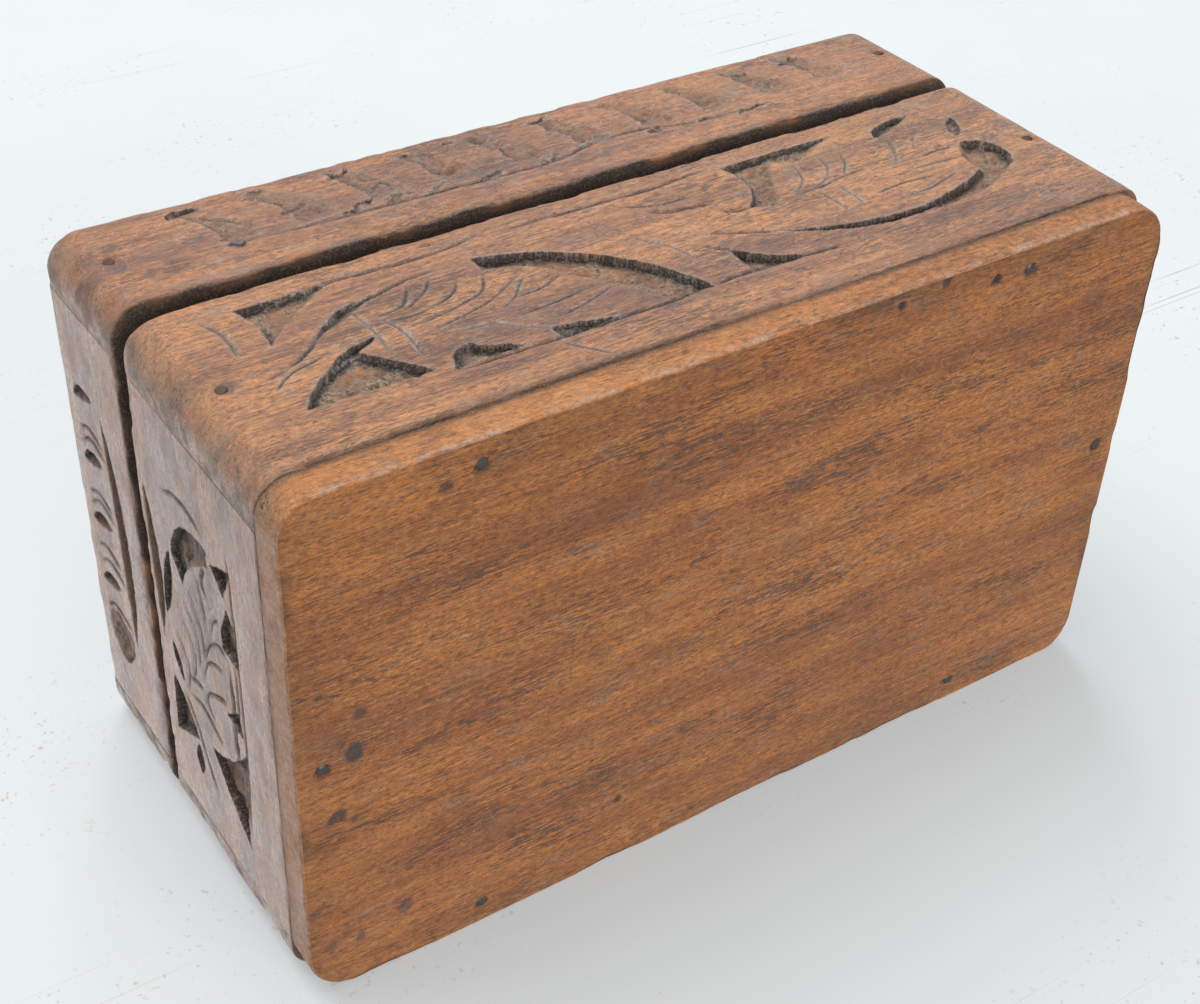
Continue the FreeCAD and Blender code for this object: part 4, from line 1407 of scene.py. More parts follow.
@dataclass(frozen=True)
class WoodFinish:
    """Worn, waxed hardwood with dark dashes, pale fibres, open pores and old soiling, with painted shade in
    cuts and hollows and painted sheen and highlights.

    Attributes:
        name: Name of the material.
        light: Colour of the light wood.
        middle: Colour of most of the wood.
        deep: Colour of the dark bands.
        dark: Colour of dashes and pores.
        pale: Colour of scratches and raised fibres.
        worn: Colour of rubbed edges.
        grime_and_shade: Colour of black soiling, also used as painted shade in cuts, hollows and the gap
            between lid and body.
        dust: Colour of settled dust.
        stain: Colour of iron stains.
        bloom_and_sheen: Colour of the dull haze over the wax, which also paints the sheen of grazing
            reflection.
        chalk_and_highlight: Colour of pale rims of cuts: wax residue, and painted highlights on their edges.
        film_and_sheen: Strength of that haze and painted sheen, from 0 to 1.
        grain: Direction of the fibres.
        heart: Place of the tree's heart in millimetres, which gives each board its own figure.
        gloss: Roughness of the wax.
        shine: Specular level of the wax.
        sheen: Strength of the dusty sheen.
        dashes: How thickly dark dashes lie, from 0 to 1.
        scuffs: How thickly pale scratches lie, from 0 to 1.
    """

    name: str
    light: Triple = (0.56, 0.215, 0.055)
    middle: Triple = (0.36, 0.125, 0.034)
    deep: Triple = (0.18, 0.06, 0.026)
    dark: Triple = (0.05, 0.022, 0.016)
    pale: Triple = (0.5, 0.29, 0.15)
    worn: Triple = (0.4, 0.17, 0.065)
    grime_and_shade: Triple = (0.012, 0.008, 0.006)
    dust: Triple = (0.4, 0.29, 0.19)
    stain: Triple = (0.045, 0.042, 0.047)
    bloom_and_sheen: Triple = (0.265, 0.23, 0.2)
    chalk_and_highlight: Triple = (0.5, 0.435, 0.41)
    film_and_sheen: float = 0.62
    grain: Grain = Grain.ALONG_LENGTH
    heart: Triple = (0.0, 70.0, 40.0)
    gloss: float = 0.3
    shine: float = 0.8
    sheen: float = 0.15
    dashes: float = 0.75
    scuffs: float = 0.4

    def material(self) -> Material:
        """Lay out the finish.

        Returns:
            The material.
        """
        material = bpy.data.materials.new(self.name)
        tree = Tree(material)
        place = tree.millimetres(self.grain.value, self.heart)
        colour, pores = self._figure(tree, place)
        colour = self._weather(tree, place, self._handle(tree, place, colour))
        waxed = tree.math("SUBTRACT", tree.grain(place, 0.1, 0.2, 6.0, 0.65), 0.5)
        dirty = tree.math("MAXIMUM", tree.mark(Mark.DUST), tree.mark(Mark.GRIME_AND_SHADE))
        rough = tree.math("ADD", tree.math("MULTIPLY_ADD", waxed, 0.7, self.gloss), tree.times(dirty, 0.4))
        inputs = {"Base Color": colour, "Roughness": rough, "Normal": self._bump(tree, place, pores)}
        inputs |= {"Specular IOR Level": self.shine, "Sheen Weight": self.sheen, "Sheen Roughness": 0.4}
        tree.add("OutputMaterial", {"Surface": tree.add("BsdfPrincipled", inputs).outputs[0]})
        return material

    def _figure(self, tree: Tree, place: Socket) -> tuple[Socket, Socket]:
        """Bands, growth lines, fibres, dashes and pores.

        Args:
            tree: Tree that the nodes go into.
            place: Coordinates in millimetres, with x along the grain.

        Returns:
            Colour of the clean wood, and how deep its dashes and pores are.
        """
        stops = [(0.34, self.deep), (0.46, self.middle), (0.58, self.light), (0.7, self.middle)]
        colour = tree.ramp(tree.grain(place, 0.008, 0.075, 4.0, 0.55, 0.5), stops)
        axis = tree.add("Mapping", {"Vector": place, "Scale": (0.0, 1.0, 1.0)}).outputs["Vector"]
        radius = tree.add("VectorMath", {0: axis}, operation="LENGTH").outputs["Value"]
        warped = tree.math("ADD", radius, tree.times(tree.grain(place, 0.014, 0.05, 3.0), 22.0))
        inputs = {"W": warped, "Scale": 0.55, "Detail": 4.0, "Roughness": 0.6}
        rings = tree.add("TexNoise", inputs, noise_dimensions="1D").outputs["Fac"]
        colour = tree.tint(colour, self.deep, tree.band(rings, 0.5, 0.7), 0.35)
        for along, across, share in ((0.06, 1.3, 0.6), (0.2, 3.2, 0.65)):
            fibres = tree.grain(place, along, across, 5.0, 0.65, 0.2)
            colour = tree.tint(colour, self.light, tree.band(fibres, 0.5, 0.66), share)
            colour = tree.tint(colour, self.deep, tree.band(fibres, 0.5, 0.36), share)
        crowd = tree.times(tree.math("SUBTRACT", tree.grain(place, 0.03, 0.12, 4.0, 0.6), 0.5), 0.8)
        dash = tree.grain(place, 0.28, 2.7, 4.0, 0.62, 0.25)
        start = 0.66 - 0.08 * self.dashes
        dashes = tree.band(tree.math("ADD", dash, crowd), start, start + 0.06)
        pores = tree.band(tree.grain(place, 0.7, 4.6, 2.0, 0.5), 0.58, 0.66)
        colour = tree.tint(tree.tint(colour, self.dark, dashes, 0.8), self.dark, pores, 0.75)
        return colour, tree.math("MAXIMUM", dashes, pores)

    def _handle(self, tree: Tree, place: Socket, colour: Socket) -> Socket:
        """Scratches, dull patches, a dull haze that also paints sheen, and wear over the clean wood.

        Args:
            tree: Tree that the nodes go into.
            place: Coordinates in millimetres.
            colour: Colour of the clean wood.

        Returns:
            Colour of the handled wood.
        """
        scuff = tree.band(tree.grain(place, 0.5, 2.8, 5.0, 0.7, 0.6), 0.54, 0.66)
        scuff = tree.times(scuff, tree.band(tree.grain(place, 0.05, 0.08, 4.0, 0.6), 0.42, 0.66))
        fleck = tree.band(tree.grain(place, 1.3, 2.6, 3.0, 0.7), 0.62, 0.7)
        dull = tree.band(tree.grain(place, 0.06, 0.1, 6.0, 0.7, 0.4), 0.52, 0.7)
        blackening = tree.band(tree.noise(place, 0.5, 6.0, 0.72), 0.6, 0.7)
        # Grey-lilac haze: a dull wax haze, and painted sheen that stands for the veil of reflection
        film_and_sheen = tree.band(tree.grain(place, 0.09, 0.16, 7.0, 0.7, 0.5), 0.53, 0.66)
        film_and_sheen = tree.math("MAXIMUM", tree.times(film_and_sheen, 0.8), tree.mark(Mark.BLOOM))
        film_and_sheen = tree.times(film_and_sheen, tree.band(tree.noise(place, 1.1, 5.0, 0.7), 0.36, 0.62))
        worn = tree.times(tree.mark(Mark.WEAR), tree.band(tree.noise(place, 0.7, 5.0, 0.7), 0.34, 0.62))
        for paint, cover, share in (
            (self.pale, scuff, self.scuffs),
            (self.pale, fleck, self.scuffs),
            (self.deep, dull, 0.55),
            (self.dark, blackening, 0.6),
            (self.bloom_and_sheen, film_and_sheen, self.film_and_sheen),
            (self.worn, worn, 0.75),
        ):
            colour = tree.tint(colour, paint, cover, share)
        cloud = tree.grain(place, 0.55, 1.0, 6.0, 0.85)
        limits = {"Value": cloud, "From Min": 0.3, "From Max": 0.7, "To Min": 0.5, "To Max": 1.52}
        tone = tree.add("MapRange", limits).outputs[0]
        return tree.add("VectorMath", {0: colour, "Scale": tone}, operation="SCALE").outputs[0]

    def _weather(self, tree: Tree, place: Socket, colour: Socket) -> Socket:
        """Soiling with painted shade in cuts and hollows, dust, crumbs, pale rims with painted highlights,
        and stains over the handled wood.

        Args:
            tree: Tree that the nodes go into.
            place: Coordinates in millimetres.
            colour: Colour of the handled wood.

        Returns:
            Colour of the dirty wood.
        """
        # Black soiling, and painted shade in cuts, hollows and the lid's gap
        colour = tree.tint(colour, self.grime_and_shade, tree.mark(Mark.GRIME_AND_SHADE))
        for paint, mark, scale, detail, rough, low, high, share in (
            (self.dust, Mark.DUST, 1.6, 5.0, 0.8, 0.42, 0.56, 1.0),
            (self.grime_and_shade, Mark.DUST, 1.2, 5.0, 0.8, 0.47, 0.39, 1.4),
            (self.dust, Mark.GRIME_AND_SHADE, 2.2, 3.0, 0.7, 0.53, 0.6, 0.55),
            # Pale rims of cuts: wax residue, and painted highlights on their edges
            (self.chalk_and_highlight, Mark.CHALK_AND_HIGHLIGHT, 0.9, 5.0, 0.75, 0.44, 0.58, 0.75),
            (self.stain, Mark.STAIN, 0.7, 4.0, 0.7, 0.2, 0.5, 1.0),
        ):
            spread = tree.band(tree.noise(place, scale, detail, rough), low, high)
            colour = tree.tint(colour, paint, tree.times(tree.mark(mark), spread), share)
        return colour

    def _bump(self, tree: Tree, place: Socket, pores: Socket) -> Socket:
        """Relief too fine for the mesh: pores, fibres and small knocks.

        Args:
            tree: Tree that the nodes go into.
            place: Coordinates in millimetres.
            pores: How deep dashes and pores are.

        Returns:
            The bent normal.
        """
        fibre = tree.times(tree.grain(place, 0.3, 2.6, 5.0, 0.7), 0.8)
        height = tree.math("SUBTRACT", fibre, tree.times(pores, 0.35))
        height = tree.math("ADD", height, tree.times(tree.noise(place, 0.45, 8.0, 0.75), 2.4))
        crust = tree.times(tree.mark(Mark.GRIME_AND_SHADE), tree.noise(place, 1.4, 5.0, 0.7))
        height = tree.math("ADD", height, tree.times(crust, 2.5))
        return tree.add("Bump", {"Height": height, "Strength": 0.8, "Distance": 0.3 * MM}).outputs["Normal"]


@dataclass(frozen=True)
class IronFinish:
    """Dark forged iron with rust in its hollows.

    Attributes:
        name: Name of the material.
        metal: Colour of the bare metal.
        rust: Colour of the rust.
        rusted: How much of it is rusted, from 0 to 1.
    """

    name: str
    metal: Triple = (0.15, 0.145, 0.14)
    rust: Triple = (0.085, 0.04, 0.02)
    rusted: float = 0.5

    def material(self) -> Material:
        """Lay out the finish.

        Returns:
            The material.
        """
        material = bpy.data.materials.new(self.name)
        tree = Tree(material)
        place = tree.millimetres()
        patch = tree.band(tree.noise(place, 0.9, 6.0, 0.7, 0.4), 0.62 - 0.25 * self.rusted, 0.7)
        tone = tree.noise(place, 2.6, 4.0, 0.6)
        metal = tree.ramp(tone, [(0.3, tuple(0.55 * c for c in self.metal)), (0.7, self.metal)])
        height = tree.math("ADD", tree.times(patch, 0.6), tone)
        bump = tree.add("Bump", {"Height": height, "Strength": 0.5, "Distance": 0.12 * MM})
        shader = tree.add("BsdfPrincipled", {
            "Base Color": tree.tint(metal, self.rust, patch),
            "Roughness": tree.math("MULTIPLY_ADD", patch, 0.35, 0.42),
            "Metallic": tree.math("SUBTRACT", 0.9, tree.times(patch, 0.8)),
            "Normal": bump.outputs["Normal"],
        })
        tree.add("OutputMaterial", {"Surface": shader.outputs[0]})
        return material


def shifted(outline: Outline, dx: float, dz: float = 0.0) -> Outline:
    """An outline moved along the face."""
    return tuple(tuple(value + (dx, dz)[i % 2] for i, value in enumerate(corner)) for corner in outline)


def spots(*rows: tuple[float, ...]) -> tuple[Spot, ...]:
    """Stains and dents from rows of x, z, radius, darkness and depth."""
    return tuple(Spot((x, z), *rest) for x, z, *rest in rows)


class Carving:
    """The leaf carving of each side.

    Points of the front and of the lid's front are measured from the left end of the box, those
    of an end from its back edge, and heights are above the ground.
    """

    NAIL_DENT = (1.9, 0.3, 0.3)
    # Lift of the resting lid at its front and at the middle of its ends
    FRONT_LIFT = 2.25
    END_LIFT = 1.05
    FRONT_POCKETS: tuple[Pocket, ...] = (
        Pocket(((19.8, 56.6), (40.5, 57.1, 31, 51.6), (20.8, 42.8), (21.8, 49.5)), 2.6, (1,), 1.6, 0.95),
        Pocket(((28.5, 41.2, 34.8, 46.6), (44, 48.9, 36.5, 44.4)), 1.5, (1,), 1.2, 0.3),
        Pocket(((17.3, 22, 24.5, 29.8), (32.5, 33.6), (36.3, 28.6), (41.8, 21.6)), 2.4, (3,), 1.6, 0.95),
        Pocket(((24, 28.6, 30.5, 34.2), (38.2, 36.4, 31.5, 32.2)), 1.7, (), 1.0, 0.1),
        Pocket(((45, 20.3, 47.2, 24), (50.6, 25.6, 54, 24), (59, 20.6)), 1.8, (2,), 1.5, 0.4, 0.5),
        Pocket(((66.2, 50.9, 87.3, 40.6), (100.6, 19.8), (91.5, 20, 86.5, 28),
                (79.5, 37, 74, 43.6), (66.2, 46.2)), 2.6, (2, 3), 1.5, 0.95),
        Pocket(((66.3, 23.2), (79.5, 20.2), (66.6, 19.7)), 1.6, (), 1.0, 0.2),
        Pocket(((129.3, 56.4), (157.5, 56.8, 150.5, 53.4), (145, 50.8),
                (139.6, 53.8, 135.5, 47), (131, 38), (124.6, 40.2, 129.5, 47)),
               2.0, (1, 2, 3, 4), 1.4, 0.95),
        Pocket(((166, 50.8, 172.5, 52.6), (179.2, 55.9, 172.5, 55.6), (167.5, 53.8)), 2.0, (0,), 1.6, 0.4),
        Pocket(((123.5, 30.6, 139.5, 24.9), (155, 23.5, 166.5, 25.6), (177, 29.4, 177.2, 35),
                (181.2, 40.5, 187.2, 33.5), (184, 28, 172, 22.6), (155, 21.7, 138.5, 23.3)),
               2.2, (2, 4, 5), 1.5, 0.7),
        Pocket(((182.3, 43.2, 185.4, 45.6), (186.8, 50.4, 183.2, 47.4)), 1.2, (), 1.0, 0.9),
        Pocket(((111, 30, 116.3, 24), (125.5, 20), (110.4, 20)), 2.2, (2,), 1.6, 0.8),
    )
    FRONT_GROOVES: tuple[Groove, ...] = (
        # Upper border and left leaf
        *cuts(1.1, 0.7, 0, 0, ((19, 56.5), (40, 57), (50, 56.5), (60, 56.3), (66, 57), (73, 58.6)),
              ((72, 57.4), (86, 57.2), (100, 56.9), (112, 56.7), (120, 57.5), (128, 58))),
        *cuts(1.1, 0.5, 0, 0.3, ((12.5, 56), (14.5, 52), (14.9, 47.5), (14, 42))),
        *cuts(1.3, 0.8, 1.6, 0,
              ((13.4, 33.2), (20, 35), (26, 38.8), (30.5, 42.6), (38, 47), (45, 49), (54, 51), (66, 50.5))),
        *cuts(0.9, 0.4, 0, 0, ((15, 29.5), (20, 33.3), (28, 35.6))),
        *cuts(0.9, 0.45, 0, 0.5, ((38, 46), (38.6, 38), (37.6, 29.5)),
              ((41.4, 41.5), (43.2, 35), (42.4, 26))),
        *cuts(1.0, 0.6, 1.8, 0, ((39.8, 41.8), (47.3, 43.4), (51.2, 48.8)),
              ((46, 41.2), (52, 44.6), (56, 49))),
        *cuts(1.0, 0.6, 2.0, 0, ((40, 39.5), (50, 39.6), (57, 42.2), (60.6, 46.2))),
        *cuts(1.0, 0.6, 2.2, 0, ((46, 36), (55, 37.8), (62, 40.2), (65.5, 45.5)),
              ((48, 33.4), (57, 35.2), (64.4, 38), (72.3, 42.6))),
        *cuts(0.9, 0.5, 1.4, 0.3, ((61.5, 32.3), (67, 36.2), (72, 41.4))),
        *cuts(0.9, 0.5, 1.6, 0, ((65, 35.4), (72, 35.6), (78.6, 38.2))),
        *cuts(1.0, 0.6, 1.8, 0, ((62, 29.4), (71, 30.2), (81.5, 31.6))),
        *cuts(0.9, 0.5, 1.4, 0, ((68, 25.6), (76, 27), (85, 30))),
        *cuts(0.9, 0.4, 0, 0.5, ((50, 30.4), (58, 29.4), (62, 26.4), (66.5, 23))),
        # Lower border and the joint over the base
        *cuts(1.1, 0.8, 0, 0, ((44, 19.6), (60, 19.5), (80, 19.6), (100, 19.7)),
              ((100, 20.1), (110, 20.8), (124, 20.2), (133, 19.5))),
        *cuts(0.8, 0.3, 0, 0, ((65, 19), (68, 15), (72, 10))),
        *cuts(1.8, 1.1, 0, 0, ((4, 8.8), (12, 9.0), (22, 8.6), (32, 8.9), (48, 8.6), (60, 8.8), (80, 8.6),
                               (101, 8.7), (125, 8.6))),
        # Stems between the leaves
        *cuts(0.9, 0.45, 0, 0.4, ((98, 41.3), (102, 36), (104, 29))),
        *cuts(0.9, 0.5, 0, 0, ((101, 54), (107, 51.2), (112, 50.2), (120, 50.4))),
        *cuts(1.3, 1.0, 0, 0.1, ((105.5, 49.6), (109.5, 47.3), (115, 46.4), (119.5, 45.6))),
        *cuts(1.4, 1.0, 0, 0, ((119, 42.2), (121.5, 41), (125, 40.6))),
        *cuts(1.0, 0.7, 0, 0, ((107.5, 33.5), (109, 31.2), (111.5, 29.3))),
        *cuts(1.2, 0.9, 1.2, 0, ((111.5, 36.4), (117, 33.6), (124, 30.4))),
        # Right leaf
        *cuts(0.9, 0.5, 1.4, 0.4, ((136, 40.5), (140.5, 43.5), (143, 48.5), (143.4, 51)),
              ((140, 40.3), (146, 42.5), (149.5, 47), (150.5, 51.5))),
        *cuts(0.9, 0.5, 1.2, 0.4, ((150, 42), (153.4, 45.5), (155, 49))),
        *cuts(0.9, 0.5, 1.2, 0, ((135, 40), (143, 40.3), (150, 41.6), (158, 42))),
        *cuts(1.0, 0.5, 1.4, 0.4, ((162.5, 39.5), (166, 44.5), (168, 49.5))),
        *cuts(0.8, 0.4, 1.0, 0.3, ((170, 43), (172.5, 46), (174, 48.5))),
        *cuts(0.8, 0.4, 0, 0.5, ((141, 29), (141.6, 33), (141, 38)), ((145.4, 29), (146.3, 33), (146, 38.5))),
        *cuts(0.8, 0.4, 1.2, 0, ((150, 32.2), (158, 33), (168, 32)), ((158, 36), (168, 36.4), (178, 35.6))),
        *cuts(0.8, 0.4, 1.0, 0, ((169, 40), (174, 40.4), (179, 40)), ((152, 28), (162, 28.6), (172, 31))),
        *cuts(0.9, 0.35, 0, 0.6, ((184, 37.5), (187, 39.4), (188.6, 42.5))),
    )
    FRONT_SPOTS: tuple[Spot, ...] = spots(
        (9, 35, 2.2, 0.6), (8.5, 44, 1.2, 0.4), (36, 40, 1.0, 0.5), (90, 17.5, 2.0, 0.45), (76, 15, 1.6, 0.4),
        (54, 32, 2.2, 0.45), (138, 18.5, 1.2, 0.5), (145, 18.6, 1.0, 0.5), (195, 43, 1.8, 0.5),
        (188, 39.5, 2.0, 0.45), (23, 17, 1.0, 0.4), (7.6, 35, *NAIL_DENT), (195.4, 35, *NAIL_DENT),
    )
    END_POCKETS: tuple[Pocket, ...] = (
        Pocket(((51, 58.8, 68, 55.6), (89, 59.8, 70, 60)), 2.0, (1,), 1.6, 0.2),
        Pocket(((26.5, 57.6), (42.8, 56.2, 39, 50.2), (33, 45.6)), 2.4, (1,), 2.0, 0.3),
        Pocket(((22.5, 46.8, 27, 48.3), (31, 46.2, 27.5, 44.8)), 1.2, (), 1.0, 0.3),
        Pocket(((45.2, 50.6, 48.5, 53.5), (53.2, 54.2, 50, 51)), 1.8, (), 1.0, 0.1),
        Pocket(((59.3, 55.3, 70.5, 54), (78.7, 50.2, 70, 50.8)), 2.2, (), 1.0, 0.2),
        Pocket(((79.5, 48.8, 88.5, 43.4), (91.2, 31.5), (87.6, 31.6, 83, 38.6),
                (74.2, 44.6)), 2.4, (2,), 2.4, 0.5),
        Pocket(((21.3, 24.4, 29.5, 32.8), (36.5, 38.8, 40.8, 29.5), (49.2, 21.4)), 2.5, (2,), 3.2, 0.6),
        Pocket(((53.6, 29), (58.6, 23.4), (52.4, 22.6)), 1.8, (), 1.0, 0.3),
        Pocket(((71, 28), (76, 27.8), (83, 24.2), (79, 21.4),
                (70.6, 21.6)), 2.2, (3,), 2.0, 0.6),
        Pocket(((89.6, 30), (93.4, 21.4), (85, 25.2)), 2.0, (), 1.0, 0.4),
    )
    END_GROOVES: tuple[Groove, ...] = (
        *cuts(0.9, 0.5, 1.6, 0, ((44, 48), (45, 42), (43, 36), (41.5, 33))),
        *cuts(0.8, 0.4, 1.2, 0, ((49, 47), (50, 44), (51, 40))),
        *cuts(0.9, 0.5, 1.6, 0, ((44, 48.5), (50, 47), (54, 47.5), (58, 52))),
        *cuts(0.9, 0.5, 1.8, 0, ((50, 45), (55, 43), (60, 43.5), (64.5, 48)),
              ((56, 41), (61, 40.2), (66, 41), (70, 45.5)), ((60, 38.5), (66, 37.5), (71, 39.5), (75, 43))),
        *cuts(0.9, 0.5, 1.6, 0, ((54, 39.5), (60, 37), (63, 33), (64, 29)),
              ((47, 40), (52, 37.5), (55, 32), (56, 29)), ((60, 38), (66, 35), (69.5, 31), (69.5, 27))),
        *cuts(0.8, 0.4, 1.2, 0, ((71, 33), (74, 32), (77, 29))),
        *cuts(0.9, 0.4, 1.2, 0, ((72, 35), (78, 36.5), (81, 37.2))),
        *cuts(0.8, 0.4, 0, 0, ((46, 36), (48, 38), (50.5, 38.4))),
        *cuts(0.9, 0.45, 1.2, 0, ((93, 50), (95.5, 44), (95.5, 38), (94, 33))),
        *cuts(1.3, 0.7, 1.2, 0.3, ((23, 38.5), (30, 42.5), (37, 46), (42, 51))),
        *cuts(1.6, 0.7, 0, 0, ((42, 25.4), (50, 26.2), (57, 25.4), (69, 26))),
        *cuts(0.9, 0.4, 0, 0, ((57, 23.4), (63, 23), (71, 23.2)),
              ((21, 24), (36, 22.6), (50, 21.6), (72, 21.4), (92, 21.8), (97, 22.4))),
        *cuts(1.2, 0.5, 0, 0.3, ((79, 33.5), (82, 35), (86, 33.5))),
    )
    LID_SCALLOP: Outline = ((1.2, 91, 5.6, 86), (4.6, 81.2, 2.2, 86))
    LID_END_GROOVES: tuple[Groove, ...] = (
        *cuts(1.0, 0.5, 2.0, 0, *(((u - 1, 91), (u + 1.2, 86), (u - 0.4, 79.5)) for u in (52.5, 66.5, 82.5))),
        *cuts(0.9, 0.4, 2.5, 0, *(((u, 91), (u + 3, 86), (u + 1.5, 78)) for u in (35, 47, 62.5, 78))),
    )
    LID_PETAL_STARTS: tuple[float, ...] = (25, 41, 57.5, 73.5, 90, 106, 122.5, 139, 155, 170.5)
    LID_PETAL: Outline = (
        (0, 93.6, 5.6, 92.6), (8.5, 88, 11.4, 84.6), (12, 80.2, 8, 78.9), (4, 80.2, 3.4, 87),
    )
    LID_FRONT_PITS: tuple[tuple[float, float, float, float], ...] = (
        (27, 93, 3.4, 1.3), (42.5, 93.4, 2.8, 1.0), (60, 92.4, 2.4, 1.2), (76, 93, 2.2, 0.9),
        (87, 93.2, 1.8, 0.9), (108, 93.2, 3.0, 1.0), (142, 91, 2.2, 0.9), (159, 90.6, 2.8, 0.9),
        (163, 85, 3.0, 1.0), (174, 91, 3.4, 1.1), (57.5, 78.8, 3.6, 0.9), (66, 79, 3.2, 0.8),
        (73.5, 77.4, 2.8, 0.7), (87, 77.2, 3.2, 0.8), (101, 77, 3.2, 0.8), (115, 80.6, 2.2, 0.7),
        (127.5, 77.6, 2.8, 0.7), (140, 77, 2.4, 0.7), (152.5, 76, 4.5, 0.6), (31, 78, 2.0, 0.8),
    )
    LID_FRONT_GROOVES: tuple[Groove, ...] = (
        *cuts(1.2, 0.6, 0, 0, ((22, 78.5), (50, 77.4), (70, 77), (100, 76.4), (112, 79), (124, 79.6),
                               (140, 76.4), (158, 76.6))),
        *cuts(1.6, 1.2, 0, 0, ((43, 84), (46, 84.8), (50.5, 86.4))),
        *cuts(1.2, 0.5, 0, 0, ((62, 83), (66, 86), (68, 83.5))),
        *cuts(1.4, 0.7, 0, 0.3, ((28, 91), (32, 88), (36, 84))),
    )
    LID_FRONT_SPOTS: tuple[Spot, ...] = spots(
        (9.5, 87.5, 1.8, 0.55), (8, 80.5, 1.8, 0.5), (24.5, 83, 2.2, 0.4), (17, 78, 1.3, 0.5),
        (31, 77.6, 1.8, 0.6), (34.5, 70.5, 1.0, 0.5), (7.6, 83.4, *NAIL_DENT), (195.4, 84.9, *NAIL_DENT),
    )
    BASE_NAIL = (1.8, 0.55, 0.4)
    BASE_NAILS: Line = ((38.5, 5.5), (38.5, 116.1), (164.5, 5.5), (164.5, 116.1), (5.5, 60.8), (197.5, 60.8))
    BASE_SPOTS: tuple[Spot, ...] = spots(
        (31.5, 114, 1.5, 0.7, 0.3), (155.4, 116.5, 1.3, 0.85, 0.6), (141.8, 120, 1.1, 0.85, 0.5),
        (130.5, 118.2, 0.9, 0.85, 0.5), (70.8, 17.4, 1.1, 0.8, 0.4), (13.3, 71, 1.5, 0.7),
        (11.6, 62, 2.3, 0.85, 0.2), (9.3, 65.5, 1.0, 0.6), (7.6, 47.7, 1.7, 0.8, 0.2), (11, 45.5, 0.8, 0.7),
        (20.8, 15.3, 2.0, 0.65), (11, 12.5, 1.3, 0.6), (8, 15, 1.2, 0.5), (4.5, 13, 1.4, 0.5),
        (53, 32, 1.5, 0.55), (104, 78, 1.0, 0.3), (186, 105, 5.0, 0.3), (64, 61, 2.6, 0.3),
    )

    @classmethod
    def front(cls, sizes: BoxSizes) -> Relief:
        """Two long leaves on the body's front."""
        origin = (sizes.length / 2, sizes.base)
        return Relief(11, cls.FRONT_POCKETS, cls.FRONT_GROOVES, cls.FRONT_SPOTS, origin)

    @classmethod
    def end(cls, sizes: BoxSizes, mirror: int) -> Relief:
        """One scaly leaf on an end of the body."""
        origin = (sizes.width / 2, sizes.base)
        return Relief(21 + mirror, cls.END_POCKETS, cls.END_GROOVES, (), origin, mirror)

    @classmethod
    def lid_front(cls, sizes: BoxSizes) -> Relief:
        """Row of worn petals on the lid's front.

        Args:
            sizes: Sizes of the box.

        Returns:
            The carving.
        """
        pockets = [cls.pit(*pit) for pit in cls.LID_FRONT_PITS]
        for start in cls.LID_PETAL_STARTS:
            petal = shifted(cls.LID_PETAL, start, 0.5 * math.sin(3 * start))
            pockets.append(Pocket(petal, 0.8, (0, 1, 2), 3.4, 0.45, 0.6))
        origin = (sizes.length / 2, sizes.lid_rim + cls.FRONT_LIFT)
        return Relief(31, tuple(pockets), cls.LID_FRONT_GROOVES, cls.LID_FRONT_SPOTS, origin)

    @classmethod
    def lid_end(cls, sizes: BoxSizes, mirror: int) -> Relief:
        """Row of scallops on an end of the lid.

        Args:
            sizes: Sizes of the box.
            mirror: -1 for the right end.

        Returns:
            The carving.
        """
        pockets = (
            Pocket(((33.5, 77, 58, 73), (91, 78.6, 60, 77.6)), 2.0, (1,), 1.2, 0.15),
            Pocket(((23.5, 84.6, 29, 91), (33.5, 78.5, 30, 79)), 1.6, (0,), 4.0, 0.85),
            *(Pocket(shifted(cls.LID_SCALLOP, start), 2.0, (1,), 1.4, 0.15) for start in (41, 57, 72.5)),
            Pocket(((89, 91.4, 93.2, 86.5), (92.4, 82, 90.2, 86.5)), 1.6, (1,), 1.2, 0.2),
        )
        origin = (sizes.width / 2, sizes.lid_rim + cls.END_LIFT)
        return Relief(41 + mirror, pockets, cls.LID_END_GROOVES, (), origin, mirror)

    @classmethod
    def plain(cls, seed: int, nail_x: float, nail_z: float) -> Relief:
        """Face without carving, with a dent round each corner nail."""
        return Relief(seed, spots=spots(*((x, nail_z, *cls.NAIL_DENT) for x in (-nail_x, nail_x))))

    @classmethod
    def base(cls, sizes: BoxSizes) -> Relief:
        """Worn underside, with nail holes, dents and stains.

        Args:
            sizes: Sizes of the box.

        Returns:
            The wear.
        """
        holes = spots(*((*place, *cls.BASE_NAIL) for place in cls.BASE_NAILS))
        origin = (sizes.length / 2, sizes.width / 2)
        return Relief(51, (), (), holes + cls.BASE_SPOTS, origin, wall=0.55, hand=0.1)

    @classmethod
    def panel(cls) -> Relief:
        """Rosette, buds and four leaves on the lid's top.

        Returns:
            The carving.
        """
        pockets: list[Pocket] = []
        grooves: list[Groove] = []
        for step in range(8):
            ray = np.array((math.cos(math.tau / 8 * step), math.sin(math.tau / 8 * step)))
            pockets.append(cls.lens(5 * ray, 18 * ray, 2.8))
        for sign in (1, -1):
            pockets.append(cls.lens(np.array((sign * 58.0, 0.0)), np.array((sign * 82.0, 0.0)), 3))
            pockets.append(cls.lens(np.array((0.0, sign * 28.0)), np.array((0.0, sign * 43.0)), 3))
            for other in (1, -1):
                start, end = np.array((sign * 23.0, other * 9.0)), np.array((sign * 78.0, other * 39.0))
                leaf_pockets, leaf_grooves = cls.leaf(start, end)
                pockets += leaf_pockets
                grooves += leaf_grooves
        return Relief(61, tuple(pockets), tuple(grooves))

